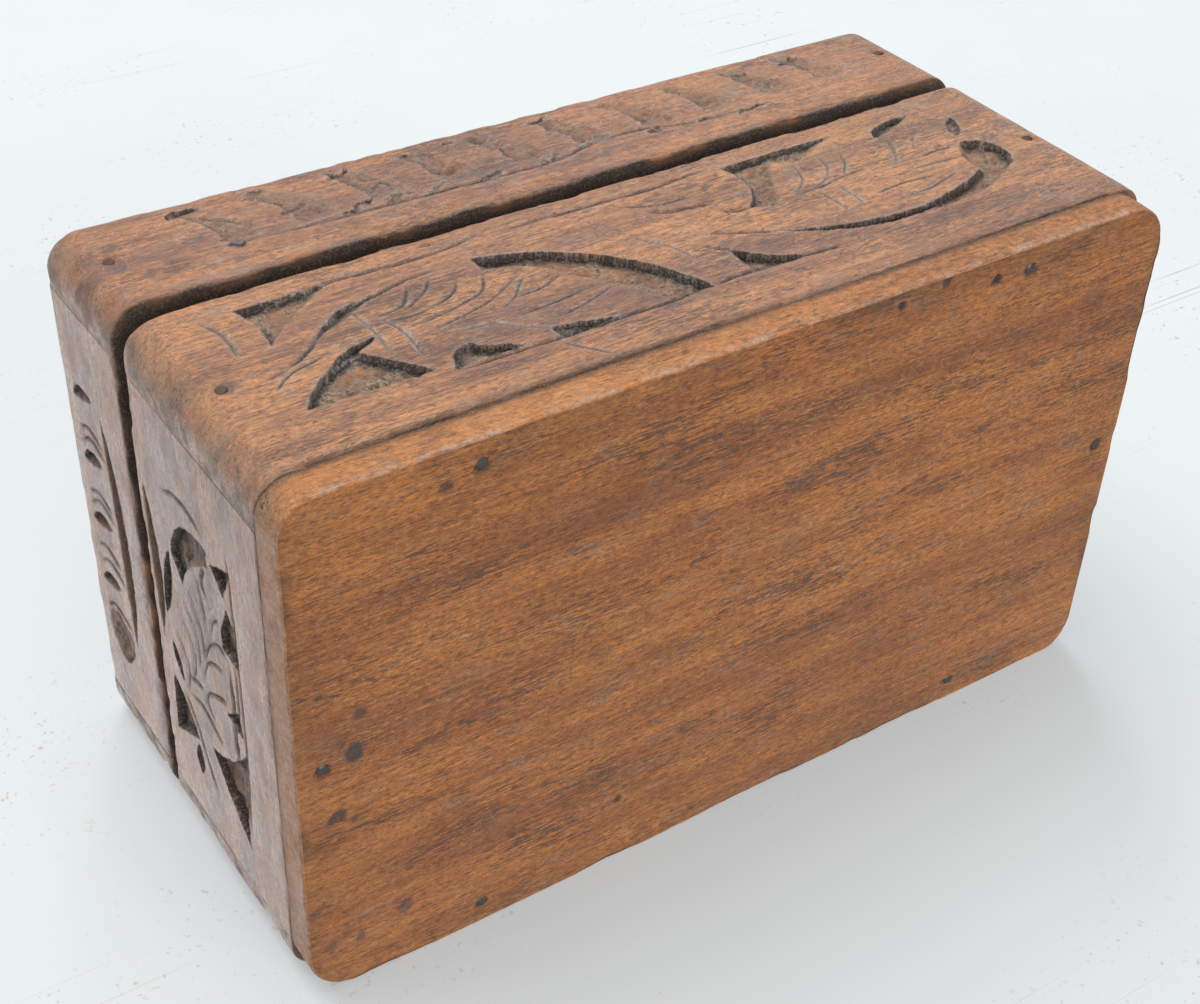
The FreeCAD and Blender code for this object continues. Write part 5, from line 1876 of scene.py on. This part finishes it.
    @staticmethod
    def pit(x: float, z: float, half_length: float, half_width: float) -> Pocket:
        """Small slanting nick of a gouge.

        Args:
            x: Middle along the face.
            z: Height of the middle.
            half_length: Half its length.
            half_width: Half its width.

        Returns:
            The nick.
        """
        rise = 0.25 * half_length
        outline = (
            (x - half_length, z - rise, x - 0.2, z + half_width),
            (x + half_length, z + rise, x + 0.2, z - half_width),
        )
        return Pocket(outline, 0.95, (1,), 1.1, 0.45, 1.0)

    @staticmethod
    def lens(start: Array, end: Array, bulge: float) -> Pocket:
        """Pointed oval between two points.

        Args:
            start: First tip.
            end: Second tip.
            bulge: Half its width.

        Returns:
            The recess.
        """
        spine = end - start
        across = np.array((-spine[1], spine[0])) / np.linalg.norm(spine) * bulge
        middle = (start + end) / 2
        return Pocket(((*start, *(middle + across)), (*end, *(middle - across))), 1.9, (0,), 2.0, 0.5)

    @staticmethod
    def leaf(start: Array, end: Array) -> tuple[list[Pocket], list[Groove]]:
        """Leaf with cleared ground on both sides, a midrib and veins.

        Args:
            start: Foot of the leaf.
            end: Tip of the leaf.

        Returns:
            Its recesses and knife cuts.
        """
        spine = end - start
        across = np.array((-spine[1], spine[0])) / np.linalg.norm(spine)
        middle = (start + end) / 2
        pockets, grooves = [], [*cuts(1.2, 0.6, 1.5, 0, (tuple(start), tuple(middle + across), tuple(end)))]
        for side in (1, -1):
            foot, tip = start + side * across, end + side * across
            outer, inner = middle + side * 14 * across, middle + side * 10 * across
            pockets.append(Pocket(((*foot, *outer), (*tip, *inner)), 2.0, (1,), 1.6, 0.5))
            for share in np.linspace(0.16, 0.76, 7):
                foot = start + share * spine
                reach = 9.0 * math.sin(math.pi * (share + 0.12)) ** 0.8
                tip = foot + side * reach * across + 0.14 * spine
                bend = (foot + tip) / 2 - 0.03 * spine + side * 0.6 * across
                vein = (tuple(foot), tuple(bend), tuple(tip))
                grooves += cuts(0.9, 0.5, 1.5 * (side > 0), 0, vein)
        return pockets, grooves


@dataclass
class Hinge:
    """Iron butt hinge: two leaves with rolled knuckles on one pin.

    Attributes:
        side: left or right.
        centre: Middle of the hinge along the length.
        leaf_width: Distance from the pin's axis to a leaf's inner edge.
        room: Gap between the leaves' flats and the other leaf's knuckles.
        overlap: How far a knuckle's neck lies on its leaf.
        neck: Distance from the pin's axis at which the neck ends.
    """

    side: str
    centre: float
    sizes: BoxSizes
    iron: Material
    leaf_length: float = 26.0
    leaf_width: float = 8.0
    leaf_thickness: float = 1.1
    barrel_radius: float = 1.9
    pin_radius: float = 0.9
    pin_bevel: float = 0.35
    lid_knuckle: float = 9.0
    knuckle_gap: float = 0.3
    room: float = 0.4
    overlap: float = 0.5
    neck: float = 0.8
    segments: int = 28
    bevel: float = 0.18

    def build(self) -> None:
        """Make the leaves and the pin."""
        half, knuckle = self.leaf_length / 2, self.lid_knuckle / 2
        split = knuckle + self.knuckle_gap
        top = self.sizes.lid_rim - self.leaf_thickness
        self._leaf("hinge_body_leaf_", Body.CASE, self.sizes.body_height, [(-half, -split), (split, half)])
        self._leaf("hinge_lid_leaf_", Body.LID, top, [(-knuckle, knuckle)])
        pin = bmesh.new()
        self._barrel(pin, -half, half, self.pin_radius, self.pin_bevel)
        self._place(pin, "hinge_pin_", Body.CASE)

    def _leaf(self, kind: str, body: Body, low: float, knuckles: list[Point]) -> None:
        """Plate with its knuckles.

        Args:
            kind: Start of the name of its node.
            body: Body that it rides on.
            low: Height of the plate's lower face.
            knuckles: Start and end of each knuckle along the pin.
        """
        shape = bmesh.new()
        inner = self.sizes.hinge_y - self.leaf_width
        outer = self.sizes.hinge_y - self.barrel_radius - self.room
        self._plate(shape, -self.leaf_length / 2, self.leaf_length / 2, inner, outer, low)
        for start, end in knuckles:
            self._plate(shape, start, end, outer - self.overlap, self.sizes.hinge_y - self.neck, low)
            self._barrel(shape, start, end, self.barrel_radius, self.bevel)
        self._place(shape, kind, body)

    def _plate(self, shape: Shape, x0: float, x1: float, y0: float, y1: float, low: float) -> None:
        """Add a bevelled flat.

        Args:
            shape: Shape that it goes into.
            x0: Start along the pin, from the hinge's middle.
            x1: End along the pin.
            y0: Inner edge.
            y1: Outer edge.
            low: Height of its lower face.
        """
        made = bmesh.ops.create_cube(shape, size=1.0)["verts"]
        bmesh.ops.scale(shape, verts=made, vec=(x1 - x0, y1 - y0, self.leaf_thickness))
        centre = (self.centre + (x0 + x1) / 2, (y0 + y1) / 2, low + self.leaf_thickness / 2)
        bmesh.ops.translate(shape, verts=made, vec=centre)
        edges = list(dict.fromkeys(edge for vertex in made for edge in vertex.link_edges))
        bmesh.ops.bevel(shape, geom=edges, offset=self.bevel, affect="EDGES",
                        segments=2, profile=0.5, material=-1)

    def _barrel(self, shape: Shape, start: float, end: float, radius: float, bevel: float) -> None:
        """Add a round bar on the pin's axis, with softened ends.

        Args:
            shape: Shape that it goes into.
            start: Start along the pin, from the hinge's middle.
            end: End along the pin.
            radius: Radius of the bar.
            bevel: Width of the softened rims.
        """
        made = bmesh.ops.create_cone(shape, cap_ends=True, segments=self.segments, radius1=radius,
                                     radius2=radius, depth=end - start)["verts"]
        edges = dict.fromkeys(edge for vertex in made for edge in vertex.link_edges)
        rims = [edge for edge in edges if any(len(face.verts) > 4 for face in edge.link_faces)]
        turn = Matrix.Rotation(math.pi / 2, 4, "Y")
        centre = (self.centre + (start + end) / 2, self.sizes.hinge_y, self.sizes.hinge_z)
        bmesh.ops.transform(shape, matrix=Matrix.Translation(centre) @ turn, verts=made)
        bmesh.ops.bevel(shape, geom=rims, offset=bevel, affect="EDGES",
                        segments=3, profile=0.5, material=-1)

    def _place(self, shape: Shape, kind: str, body: Body) -> None:
        """Turn a shape in the frame's own millimetres into a piece.

        Args:
            shape: The shape.
            kind: Start of the name of its node.
            body: Body that it rides on.
        """
        node = kind + self.side
        tilt = self.sizes.rest_angle if body is Body.LID else 0.0
        place = Place((0, 0, 0), tilt=tilt, pivot=(self.sizes.hinge_y, self.sizes.hinge_z))
        bmesh.ops.transform(shape, matrix=place.matrix(), verts=shape.verts[:])
        piece = Piece(node + "_iron", node, "hinge_iron", body, self.iron)
        piece.settle(mesh_from(node, shape, 35.0))


@dataclass
class Fasteners(Piece):
    """Group of equal nails or screws that share one node.

    Attributes:
        places: Place of each head: its middle is at zero and the shank goes down.
        head: Radius of the head.
        crown: Height of the head's crown.
        sunk: Depth of the head's rim below the face.
        shank: Half the width of the shank.
        length: Length from the face to the point.
        slot_width: Width of a screw's slot, 0 for a nail.
        dent: Usual depth of the hammer's dents in the head.
        seed: Number that the hammer's dents are drawn from.
    """

    places: list[Place]
    head: float
    crown: float
    sunk: float
    shank: float
    length: float
    slot_width: float = 0.0
    slot_depth: float = 0.3
    dent: float = 0.05
    segments: int = 20
    seed: int = 71

    def build(self) -> None:
        """Make the group."""
        shape = bmesh.new()
        draw = np.random.default_rng(self.seed)
        for place in self.places:
            bmesh.ops.transform(shape, matrix=place.matrix(), verts=self._fastener(shape, draw))
        self.settle(mesh_from(self.name, shape, 40.0))

    def _fastener(self, shape: Shape, draw: np.random.Generator) -> list[bmesh.types.BMVert]:
        """Add one fastener, pointing down, by turning its outline about its axis.

        Args:
            shape: Shape that it goes into.
            draw: Draws the dents of the hammer.

        Returns:
            Its vertices.
        """
        head, shank, top = self.head, self.shank, -self.sunk
        outline = [
            (0.0, top + self.crown), (0.5 * head, top + 0.8 * self.crown),
            (0.88 * head, top + 0.3 * self.crown), (head, top - 0.12), (0.92 * head, top - 0.45),
            (shank, top - 0.8),
            (shank, -0.8 * self.length), (0.45 * shank, -self.length), (0.0, -self.length),
        ]
        chain = [shape.verts.new((radius, 0.0, height)) for radius, height in outline]
        edges = [shape.edges.new(pair) for pair in zip(chain, chain[1:])]
        bmesh.ops.spin(shape, geom=chain + edges, cent=(0, 0, 0), axis=(0, 0, 1), angle=math.tau,
                       steps=self.segments, use_merge=True)
        bmesh.ops.remove_doubles(shape, verts=self._connected(chain), dist=1e-4)
        made = self._connected([vertex for vertex in chain if vertex.is_valid])
        for vertex in made:
            if vertex.co.z > top - 0.1:
                vertex.co.z += draw.normal(0.0, self.dent)
                if abs(vertex.co.y) < self.slot_width and vertex.co.to_2d().length < 0.9 * head:
                    vertex.co.z -= self.slot_depth
        return made

    @staticmethod
    def _connected(start: list[bmesh.types.BMVert]) -> list[bmesh.types.BMVert]:
        """All vertices joined to the given ones, in the order in which they are reached.

        Args:
            start: Vertices to start from.

        Returns:
            The vertices.
        """
        found, open_ends = dict.fromkeys(start), list(start)
        while open_ends:
            for edge in open_ends.pop().link_edges:
                for vertex in edge.verts:
                    if vertex not in found:
                        found[vertex] = None
                        open_ends.append(vertex)
        return list(found)


@dataclass(frozen=True)
class Lamp:
    """Large soft lamp that faces the box, with its sizes in metres and its power in watts."""

    name: str
    place: Triple
    size: float
    power: float
    colour: Triple
    aim: Triple = (0.0, 0.0, 0.045)

    def build(self) -> None:
        """Make the lamp."""
        lamp = bpy.data.lights.new(self.name, "AREA")
        lamp.shape = "DISK"
        lamp.size = self.size
        lamp.energy = self.power
        lamp.color = self.colour
        holder = link_object(self.name, lamp)
        holder.location = self.place
        holder.rotation_euler = (Vector(self.aim) - Vector(self.place)).to_track_quat("-Z", "Y").to_euler()


@dataclass(frozen=True)
class Studio:
    """Pale floor, pale table top, soft light and the camera.

    The camera looks at the box as it lies on its back on a table, so it stands below the
    box's own floor. The floor shows from above only, and the table only to a camera that
    looks through the floor from below.

    Attributes:
        table_y: Place of the table's top, just behind the box.
        reach: Half the size of floor and table.
        floor_z: Height of the floor.
        pale: Colour of floor and table.
        speck: Colour of their specks and scratches.
        backdrop: Colour of the far background.
        room: Colour of the light from all around.
        gleam: Colour of what shines in surfaces.
        ambient: Strength of the light from all around.
        glow: Share of the floor's paleness that shadows leave alone.
        ceiling: Brightness of what shines in surfaces from above.
        below: Brightness of what shines in surfaces from below.
        lamps: The lamps.
    """

    table_y: float
    reach: float = 3.0
    floor_z: float = -0.3 * MM
    pale: Triple = (0.765, 0.81, 0.83)
    speck: Triple = (0.5, 0.43, 0.35)
    backdrop: Triple = (0.86, 0.9, 0.93)
    room: Triple = (0.97, 0.985, 1.0)
    gleam: Triple = (0.93, 0.965, 1.0)
    ambient: float = 0.46
    glow: float = 0.36
    ceiling: float = 0.7
    below: float = 0.42
    camera_place: Triple = (-0.19655, -0.2490, -0.2226)
    camera_right: Triple = (0.83177, -0.03803, -0.55382)
    camera_up: Triple = (0.31452, -0.78979, 0.52660)
    lens: float = 57.876
    sensor: float = 36.0
    lamps: tuple[Lamp, ...] = (
        Lamp("key_light", (-0.4, -2.35, 0.9), 2.2, 49.0, (1.0, 0.985, 0.96)),
        Lamp("low_light", (0.25, -0.7, -2.6), 2.2, 38.0, (1.0, 0.985, 0.96)),
        Lamp("window", (0.6, -0.95, 1.25), 0.45, 4.0, (0.93, 0.965, 1.0)),
        Lamp("left_glow", (-0.6, 1.3, 1.4), 1.6, 7.5, (0.93, 0.97, 1.0)),
    )

    def build(self) -> None:
        """Make the stage, the lamps and the camera."""
        self._stage()
        self._world()
        for lamp in self.lamps:
            lamp.build()
        self._camera()

    def _stage(self) -> None:
        """Floor under the box, and the table top behind it."""
        far, floor, table = self.reach, self.floor_z, self.table_y
        ground = [(-far, -far, floor), (far, -far, floor), (far, far, floor), (-far, far, floor)]
        self._plane("floor", ground, self._pale("floor_white", False))
        lower = [(-far, table, -far), (far, table, -far), (far, table, floor), (-far, table, floor)]
        self._plane("table_below", lower, self._pale("table_white", False))
        upper = [(-far, table, floor), (far, table, floor), (far, table, far), (-far, table, far)]
        self._plane("table_above", upper, self._pale("table_white_above", True))

    @staticmethod
    def _plane(name: str, corners: list[Triple], material: Material) -> None:
        """Add one flat of the stage.

        Args:
            name: Name of the flat.
            corners: Its corners, in metres.
            material: Its material.
        """
        shape = bmesh.new()
        shape.faces.new([shape.verts.new(corner) for corner in corners])
        mesh = bpy.data.meshes.new(name)
        shape.to_mesh(mesh)
        shape.free()
        mesh.materials.append(material)
        plane = link_object(name, mesh)
        plane.visible_shadow = False
        plane.visible_diffuse = False
        plane.visible_glossy = False

    def _pale(self, name: str, through_floor: bool) -> Material:
        """Pale flat that shows from its front only.

        Args:
            name: Name of the material.
            through_floor: True where it shows only to a camera that looks through the floor.

        Returns:
            The material.
        """
        material = bpy.data.materials.new(name)
        tree = Tree(material)
        place = tree.add("TexCoord").outputs["Object"]
        tones = [(0.3, tuple(0.97 * c for c in self.pale)), (0.7, self.pale)]
        colour = tree.ramp(tree.noise(place, 9.0, 5.0, 0.6), tones)
        patch = tree.band(tree.noise(place, 14.0, 4.0, 0.6), 0.46, 0.66)
        for turn, stretch in ((0.6, (6, 700, 700)), (-0.9, (700, 9, 700)), (0.0, (420, 420, 420))):
            ways = tree.add("Mapping", {"Vector": place, "Rotation": (0, turn, turn), "Scale": stretch})
            line = tree.band(tree.noise(ways.outputs[0], 1.0, 2.0), 0.66, 0.74)
            colour = tree.tint(colour, self.speck, tree.times(line, patch), 0.65)
        shown = tree.math("SUBTRACT", 1.0, tree.add("NewGeometry").outputs["Backfacing"])
        if through_floor:
            passed = tree.add("LightPath").outputs["Transparent Depth"]
            shown = tree.times(shown, tree.math("GREATER_THAN", passed, 0.5))
        matt = tree.add("BsdfDiffuse", {"Color": colour}).outputs[0]
        glow = tree.add("Emission", {"Color": colour, "Strength": 1.0}).outputs[0]
        matt = tree.add("MixShader", {0: self.glow, 1: matt, 2: glow}).outputs[0]
        clear = tree.add("BsdfTransparent").outputs[0]
        mixed = tree.add("MixShader", {0: shown, 1: clear, 2: matt}).outputs[0]
        tree.add("OutputMaterial", {"Surface": mixed})
        return material

    def _world(self) -> None:
        """Even light from all around, and a pale backdrop for the camera and for reflections."""
        world = bpy.data.worlds.new("soft_room")
        bpy.context.scene.world = world
        tree = Tree(world)
        path = tree.add("LightPath").outputs
        seen = tree.math("MAXIMUM", path["Is Camera Ray"], path["Is Transmission Ray"])
        direction = tree.add("SeparateXYZ", {0: tree.add("TexCoord").outputs["Generated"]})
        limits = {0: direction.outputs["Z"], 1: -0.9, 2: 0.6, 3: self.below, 4: self.ceiling}
        height = tree.add("MapRange", limits, interpolation_type="SMOOTHSTEP").outputs[0]
        room, gleam, back = (
            tree.add("Background", {"Color": colour, "Strength": strength}).outputs[0]
            for colour, strength in ((self.room, self.ambient), (self.gleam, height), (self.backdrop, 1.0))
        )
        lit = tree.add("MixShader", {0: path["Is Glossy Ray"], 1: room, 2: gleam}).outputs[0]
        mixed = tree.add("MixShader", {0: seen, 1: lit, 2: back}).outputs[0]
        tree.add("OutputWorld", {"Surface": mixed})

    def _camera(self) -> None:
        """Camera at the photograph's viewing angle."""
        data = bpy.data.cameras.new("main_camera")
        data.lens = self.lens
        data.sensor_width = self.sensor
        data.sensor_fit = "HORIZONTAL"
        data.clip_start = 0.01
        right, up = Vector(self.camera_right), Vector(self.camera_up)
        turn = Matrix((right, up, right.cross(up))).transposed().to_4x4()
        camera = link_object("main_camera", data)
        camera.matrix_world = Matrix.Translation(self.camera_place) @ turn
        bpy.context.scene.camera = camera


@dataclass
class CarvedBox:
    """The whole box: body, lid, hinges and fasteners."""

    sizes: BoxSizes
    front_wood: WoodFinish = WoodFinish("front_wood", light=(0.61, 0.25, 0.07), middle=(0.4, 0.15, 0.043))
    body_wood: WoodFinish = WoodFinish("body_wood_plain")
    lid_wood: WoodFinish = WoodFinish("lid_wood_grey", film_and_sheen=0.78, bloom_and_sheen=(0.26, 0.235, 0.21))
    base_wood: WoodFinish = WoodFinish(
        "base_wood", light=(0.58, 0.215, 0.05), middle=(0.42, 0.14, 0.033), deep=(0.27, 0.088, 0.026),
        dark=(0.1, 0.045, 0.03), pale=(0.62, 0.35, 0.14), worn=(0.56, 0.25, 0.085),
        heart=(30.0, -25.0, 95.0), gloss=0.5, shine=0.5, sheen=0.03, dashes=0.6, scuffs=0.8, film_and_sheen=0.45,
    )
    base_corners: tuple[float, float, float, float] = (12.0, 7.2, 7.2, 11.0)
    fine_pitch: float = 0.37
    coarse_pitch: float = 0.7
    hinge_x: float = 60.0
    notch_half: float = 13.4
    notch_depth: float = 0.975
    notch_reach: float = 3.3
    base_nail_x: float = 63.0
    base_nail_inset: float = 5.5
    corner_nail_inset: float = 7.6
    body_nail_height: float = 35.0
    lid_nail_height: float = 17.0
    screw_spacing: float = 16.0
    screw_inset: float = 5.0
    leaf_thickness: float = 1.1

    @property
    def corner_nail_x(self) -> float:
        """Distance of the corner nails from the middle of the length."""
        return self.sizes.length / 2 - self.corner_nail_inset

    def build(self) -> None:
        """Make every piece in order."""
        self._body()
        self._lid()
        self._fasteners()

    def _upright(self, side: Side, body: Body) -> Place:
        """Place of an upright board of the body or the lid.

        Args:
            side: Side of the box.
            body: Body that it rides on.

        Returns:
            The place.
        """
        x, y = self.sizes.length / 2, self.sizes.width / 2
        places = {Side.FRONT: (0.0, -y), Side.BACK: (0.0, y), Side.LEFT: (-x, 0.0), Side.RIGHT: (x, 0.0)}
        if body is Body.LID:
            return lid_place(self.sizes, (*places[side], 0.0), side.value)
        return Place((*places[side], self.sizes.base), side.value)

    def _board(self, side: Side, body: Body, slot: str, node: str, wood: WoodFinish, heart: Triple,
               relief: Relief, height: float, **shape: float) -> None:
        """Make one upright board of the body or the lid.

        Args:
            side: Side of the box that it faces.
            body: Body that it rides on.
            slot: Material slot.
            node: Node that it replaces.
            wood: Finish, which gets this board's grain and heart.
            heart: Place of the tree's heart, which gives the board its figure.
            relief: Carving of its face.
            height: Height of the board.
            shape: Other sizes of the board.
        """
        s = self.sizes
        grain = Grain.ALONG_LENGTH if side.long else Grain.ACROSS_WIDTH
        finish = replace(wood, name=node + "_finish", grain=grain, heart=heart).material()
        length, corner = (s.length, s.corner_radius) if side.long else (s.inner_width, 0.0)
        notches, pitch = {}, self.fine_pitch
        if side is Side.BACK:
            pitch = self.coarse_pitch
            spans = tuple((x - self.notch_half, x + self.notch_half) for x in (-self.hinge_x, self.hinge_x))
            notches = {"notches": spans, "notch_depth": self.notch_depth, "notch_reach": self.notch_reach,
                       "notch_at_top": body is Body.CASE}
        place = self._upright(side, body)
        Board(node + "_wood", node, slot, body, finish, place, relief, length, height, s.wall, corner,
              pitch=pitch, **shape, **notches).build()

    def _body(self) -> None:
        """Four boards and the base board under them."""
        s = self.sizes
        plain = Carving.plain(12, self.corner_nail_x, self.body_nail_height - s.base)
        for side, node, wood, heart, relief in (
            (Side.FRONT, "front_board", self.front_wood, (10.0, 130.0, -30.0), Carving.front(s)),
            (Side.BACK, "back_board", self.body_wood, (-35.0, -20.0, 60.0), plain),
            (Side.LEFT, "left_end_board", self.body_wood, (15.0, 40.0, 55.0), Carving.end(s, 1)),
            (Side.RIGHT, "right_end_board", self.body_wood, (-15.0, -60.0, 70.0), Carving.end(s, -1)),
        ):
            seam = 0.95 if side.long else 0.5
            self._board(side, Body.CASE, "body_wood", node, wood, heart, relief, s.board_height, seam=seam)
        Slab(
            "base_board_wood", "base_board", "base_wood", Body.CASE, self.base_wood.material(),
            Place((0.0, 0.0, 0.0), roll=180.0), Carving.base(s), s.length, s.width, s.base,
            self.base_corners, edge_round=0.55, back_round=0.5, wear=0.45,
        ).build()

    def _lid(self) -> None:
        """Four rails and the panel between them."""
        s = self.sizes
        plain = Carving.plain(13, self.corner_nail_x, self.lid_nail_height)
        shape = {"top_round": s.lid_round, "ledge": s.panel_thickness, "ledge_width": s.rebate}
        for side, node, heart, relief in (
            (Side.FRONT, "lid_front_rail", (60.0, 95.0, 20.0), Carving.lid_front(s)),
            (Side.BACK, "lid_back_rail", (-55.0, 80.0, -25.0), plain),
            (Side.LEFT, "lid_left_rail", (25.0, -45.0, 60.0), Carving.lid_end(s, 1)),
            (Side.RIGHT, "lid_right_rail", (-25.0, 85.0, 50.0), Carving.lid_end(s, -1)),
        ):
            self._board(side, Body.LID, "lid_wood", node, self.lid_wood, heart, relief, s.lid_height, **shape)
        grow = 2 * (s.rebate - s.panel_clearance)
        finish = replace(self.lid_wood, name="panel_finish", heart=(-20.0, 35.0, -60.0)).material()
        Slab(
            "lid_panel_wood", "lid_panel", "panel_wood", Body.LID, finish,
            lid_place(s, (0.0, 0.0, s.lid_height)), Carving.panel(), s.length - 2 * s.wall + grow,
            s.inner_width + grow, s.panel_thickness, (0.6,) * 4, edge_round=0.4, back_round=0.2, wear=0.25,
            pitch=0.53,
        ).build()

    def _fasteners(self) -> None:
        """Hinges, nails and screws."""
        s = self.sizes
        dark = IronFinish("hinge_iron_dark").material()
        grey = IronFinish("nail_iron_grey", (0.16, 0.15, 0.14), rusted=0.45).material()
        waxed = IronFinish("nail_iron_waxed", (0.1, 0.06, 0.04), (0.1, 0.042, 0.02), 1.0).material()
        for side, centre in (("left", -self.hinge_x), ("right", self.hinge_x)):
            Hinge(side, centre, s, dark, leaf_thickness=self.leaf_thickness).build()
        half, end = s.width / 2, s.length / 2 - self.base_nail_inset
        across, far = half - self.base_nail_inset, self.corner_nail_x
        heads = [(x, y) for x in (-self.base_nail_x, self.base_nail_x) for y in (-across, across)]
        base = [Place((x, y, 0.0), roll=180.0) for x, y in [*heads, (-end, 0.0), (end, 0.0)]]
        corners = [(x, y, 90.0 if y < 0 else -90.0) for x in (-far, far) for y in (-half, half)]
        case = [Place((x, y, self.body_nail_height), roll=roll) for x, y, roll in corners]
        lid = [lid_place(s, (x, y, self.lid_nail_height), roll=roll) for x, y, roll in corners]
        nail = {"head": 1.25, "crown": 0.16, "sunk": 0.3, "shank": 0.8}
        for name, node, body, iron, places, length in (
            ("base_nail_heads", "base_nails", Body.CASE, grey, base, 22.0),
            ("body_nail_heads", "body_corner_nails", Body.CASE, waxed, case, 24.0),
            ("lid_nail_heads", "lid_corner_nails", Body.LID, waxed, lid, 24.0),
        ):
            Fasteners(name, node, "nail_iron", body, iron, places, length=length, **nail).build()
        xs = [x + sign * self.screw_spacing / 2 for x in (-self.hinge_x, self.hinge_x) for sign in (-1, 1)]
        y = s.hinge_y - self.screw_inset
        screw = {"head": 1.4, "crown": 0.1, "sunk": -0.02, "shank": 0.7, "length": 7.0, "slot_width": 0.25,
                 "dent": 0.01}
        case = [Place((x, y, s.body_height + self.leaf_thickness)) for x in xs]
        Fasteners("body_screws", "body_leaf_screws", "hinge_iron", Body.CASE, dark, case, **screw).build()
        lid = [lid_place(s, (x, y, -self.leaf_thickness), roll=180.0) for x in xs]
        Fasteners("lid_screws", "lid_leaf_screws", "hinge_iron", Body.LID, dark, lid, **screw).build()


def main() -> None:
    """Build the box and the studio."""
    logging.basicConfig(level=logging.INFO, format="%(message)s")
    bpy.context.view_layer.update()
    scene = bpy.context.scene
    scene.view_settings.view_transform = "Standard"
    sizes = BoxSizes.from_frame()
    CarvedBox(sizes).build()
    Studio((sizes.width / 2 + TABLE_GAP) * MM).build()


if __name__ == "__main__":
    main()
